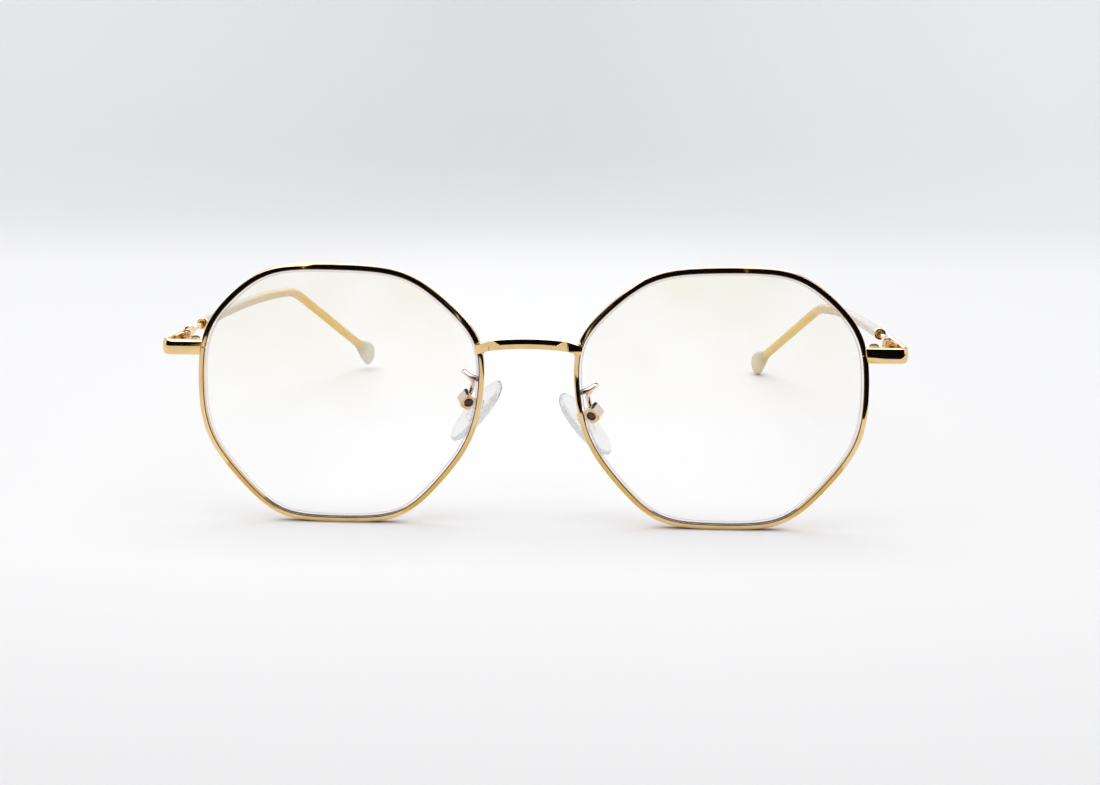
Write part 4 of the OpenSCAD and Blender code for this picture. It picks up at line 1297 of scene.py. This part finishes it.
CARD_COLOUR = (0.95, 0.97, 1.1)
DARK, BRIGHT = 0.004, 2.4
ON_TABLE = 0.0009  # height of the cards that lie on the table
CARDS = {  # strength and corners
    "dark_front": (
        DARK, [[-0.23, -0.72, 0.0], [0.12, -0.72, 0.045], [0.12, -0.66, 0.95], [-0.23, -0.66, 0.95]]
    ),
    "dark_left": (DARK, [[-1.4, -0.6, 0.0], [-0.23, -0.7, 0.0], [-0.23, -0.7, 0.27], [-1.4, -0.6, 0.75]]),
    "bright_left": (
        BRIGHT, [[-1.4, -0.61, 0.74], [-0.23, -0.71, 0.26], [-0.23, -0.68, 0.97], [-1.4, -0.6, 1.1]]
    ),
    "dark_right": (DARK, [[0.12, -0.7, 0.0], [1.4, -0.6, 0.0], [1.4, -0.6, 0.6], [0.12, -0.7, 0.44]]),
    "bright_right": (
        BRIGHT, [[0.12, -0.71, 0.43], [1.4, -0.61, 0.59], [1.4, -0.6, 1.1], [0.12, -0.68, 0.97]]
    ),
    "dark_low_right": (
        DARK,
        [[0.078, -0.68, ON_TABLE], [0.9, -0.68, ON_TABLE], [0.9, -0.12, ON_TABLE], [0.078, -0.14, ON_TABLE]],
    ),
    "dark_low_left": (
        DARK,
        [
            [-0.018, -0.143, ON_TABLE], [-0.04, -0.143, ON_TABLE],
            [-0.094, -0.235, ON_TABLE], [-0.04, -0.235, ON_TABLE],
        ],
    ),
    "bright_top": (BRIGHT, [[-1.4, -0.69, 0.94], [1.4, -0.69, 0.94], [1.4, 0.1, 1.1], [-1.4, 0.1, 1.1]]),
    "dark_top": (0.05, [[-0.6, 0.1, 1.1], [0.6, 0.1, 1.1], [0.6, 0.6, 0.3], [-0.6, 0.6, 0.3]]),
    "bright_back": (2.2, [[-0.27, 0.6, 0.06], [0.17, 0.6, 0.06], [0.17, 0.6, 0.3], [-0.27, 0.6, 0.3]]),
}
# The amber card: painted shade on the table beside the rims, seen in their reflections.
AMBER = [
    [-0.072, -0.13, 0.0006], [0.072, -0.13, 0.0006], [0.072, -0.0755, 0.0006], [-0.072, -0.0755, 0.0006]
]


class EYE_OT_stage(bpy.types.Operator):
    """Set the table, the light and the camera"""

    bl_idname = "eyeglass.stage"
    bl_label = "Stage"

    def execute(self, context):
        scene = context.scene
        s = scene.eyeglass_stage
        points, faces = sweep_floor()
        paper = table_material(tuple(s.table_colour), tuple(s.wall_colour))
        stage_piece("studio_sweep", points, faces, paper)
        for name, (level, corners) in CARDS.items():
            glossy_card(name, corners, card_material(name, CARD_COLOUR, level))
        amber = amber_card_material("amber_card", (0.72, 0.63, 0.38), tuple(s.table_colour))
        glossy_card("amber_card", AMBER, amber)
        light = bpy.data.lights.new("softbox", "AREA")
        light.shape = "RECTANGLE"
        light.size, light.size_y = 1.1, 0.8
        light.energy = s.softbox
        box = bpy.data.objects.new("softbox", light)
        box.location = (-0.1, 0.05, 0.9)
        scene.collection.objects.link(box)
        self.set_world(scene, s.sky)
        self.set_camera(scene, s)
        scene.view_settings.view_transform = "Standard"
        return {"FINISHED"}

    def set_world(self, scene, strength):
        """Even white surround, seen at strength 1 by the camera and in reflections."""
        world = bpy.data.worlds.new("surround")
        scene.world = world
        world.use_nodes = True
        tree = world.node_tree
        lit = tree.nodes["Background"]
        lit.inputs["Color"].default_value = (1, 1, 1, 1)
        lit.inputs["Strength"].default_value = strength
        seen = tree.nodes.new("ShaderNodeBackground")
        seen.inputs["Color"].default_value = (1, 1, 1, 1)
        path = tree.nodes.new("ShaderNodeLightPath")
        direct = path.outputs["Is Camera Ray"]
        for kind in ("Is Glossy Ray", "Is Transmission Ray"):
            most = tree.nodes.new("ShaderNodeMath")
            most.operation = "MAXIMUM"
            tree.links.new(direct, most.inputs[0])
            tree.links.new(path.outputs[kind], most.inputs[1])
            direct = most.outputs[0]
        mix = tree.nodes.new("ShaderNodeMixShader")
        tree.links.new(direct, mix.inputs[0])
        tree.links.new(lit.outputs[0], mix.inputs[1])
        tree.links.new(seen.outputs[0], mix.inputs[2])
        tree.links.new(mix.outputs[0], tree.nodes["World Output"].inputs["Surface"])

    def set_camera(self, scene, s):
        """Camera that looks down on the front, placed from the rim's lowest corner."""
        yaw, pitch, roll = -4.393, 12.561, 0.111
        ahead = np.array([turn_sin(yaw) * turn_cos(pitch), turn_cos(yaw) * turn_cos(pitch), -turn_sin(pitch)])
        flat = np.array([turn_cos(yaw), -turn_sin(yaw), 0])
        down = np.cross(ahead, flat)
        right = turn_cos(roll) * flat + turn_sin(roll) * down
        up = turn_sin(roll) * flat - turn_cos(roll) * down
        data = bpy.data.cameras.new("camera")
        data.sensor_fit = "HORIZONTAL"
        data.sensor_width = 36.0
        data.lens = s.lens_mm
        data.shift_x = s.shift
        data.clip_start, data.clip_end = 0.01, 20.0
        camera = bpy.data.objects.new("camera", data)
        place = [19.207, -305.105 + SHIFT_Y, 94.408]
        matrix = Matrix.Identity(4)
        matrix.col[0][:3] = right
        matrix.col[1][:3] = up
        matrix.col[2][:3] = -ahead
        matrix.translation = Vector(place) * MM
        camera.matrix_world = matrix
        scene.collection.objects.link(camera)
        scene.camera = camera


class EYE_PT_panel(bpy.types.Panel):
    """Lists the pieces of the eyeglass frame"""

    bl_idname = "EYE_PT_panel"
    bl_label = "Eyeglass frame"
    bl_space_type = "VIEW_3D"
    bl_region_type = "UI"
    bl_category = "Eyeglasses"

    def draw(self, context):
        scene = context.scene
        for title in ("Sizes", "Finish", "Stage"):
            group = getattr(scene, f"eyeglass_{title.lower()}")
            box = self.layout.box()
            box.label(text=title)
            for name in group.bl_rna.properties.keys():
                if name not in ("rna_type", "name"):
                    box.prop(group, name)
        for operator in OPERATORS:
            self.layout.operator(operator.bl_idname)


OPERATORS = (
    EYE_OT_rims, EYE_OT_lenses, EYE_OT_bridge, EYE_OT_end_pieces, EYE_OT_solder, EYE_OT_small_metal,
    EYE_OT_pad_arms, EYE_OT_nose_pads, EYE_OT_temples, EYE_OT_sleeves, EYE_OT_stage,
)
GROUPS = {"eyeglass_sizes": EyeglassSizes, "eyeglass_finish": EyeglassFinish, "eyeglass_stage": EyeglassStage}
CLASSES = (*GROUPS.values(), *OPERATORS, EYE_PT_panel)


def register():
    """Registers the classes and their settings."""
    for item in CLASSES:
        bpy.utils.register_class(item)
    for name, group in GROUPS.items():
        setattr(bpy.types.Scene, name, bpy.props.PointerProperty(type=group))


def unregister():
    """Takes the settings and classes away again."""
    for name in GROUPS:
        delattr(bpy.types.Scene, name)
    for item in reversed(CLASSES):
        bpy.utils.unregister_class(item)


def main():
    """Builds every piece in order."""
    register()
    bpy.ops.eyeglass.rims()
    bpy.ops.eyeglass.lenses()
    bpy.ops.eyeglass.bridge()
    bpy.ops.eyeglass.end_pieces()
    bpy.ops.eyeglass.solder()
    bpy.ops.eyeglass.small_metal()
    bpy.ops.eyeglass.pad_arms()
    bpy.ops.eyeglass.nose_pads()
    bpy.ops.eyeglass.temples()
    bpy.ops.eyeglass.sleeves()
    bpy.ops.eyeglass.stage()


if __name__ == "__main__":
    main()
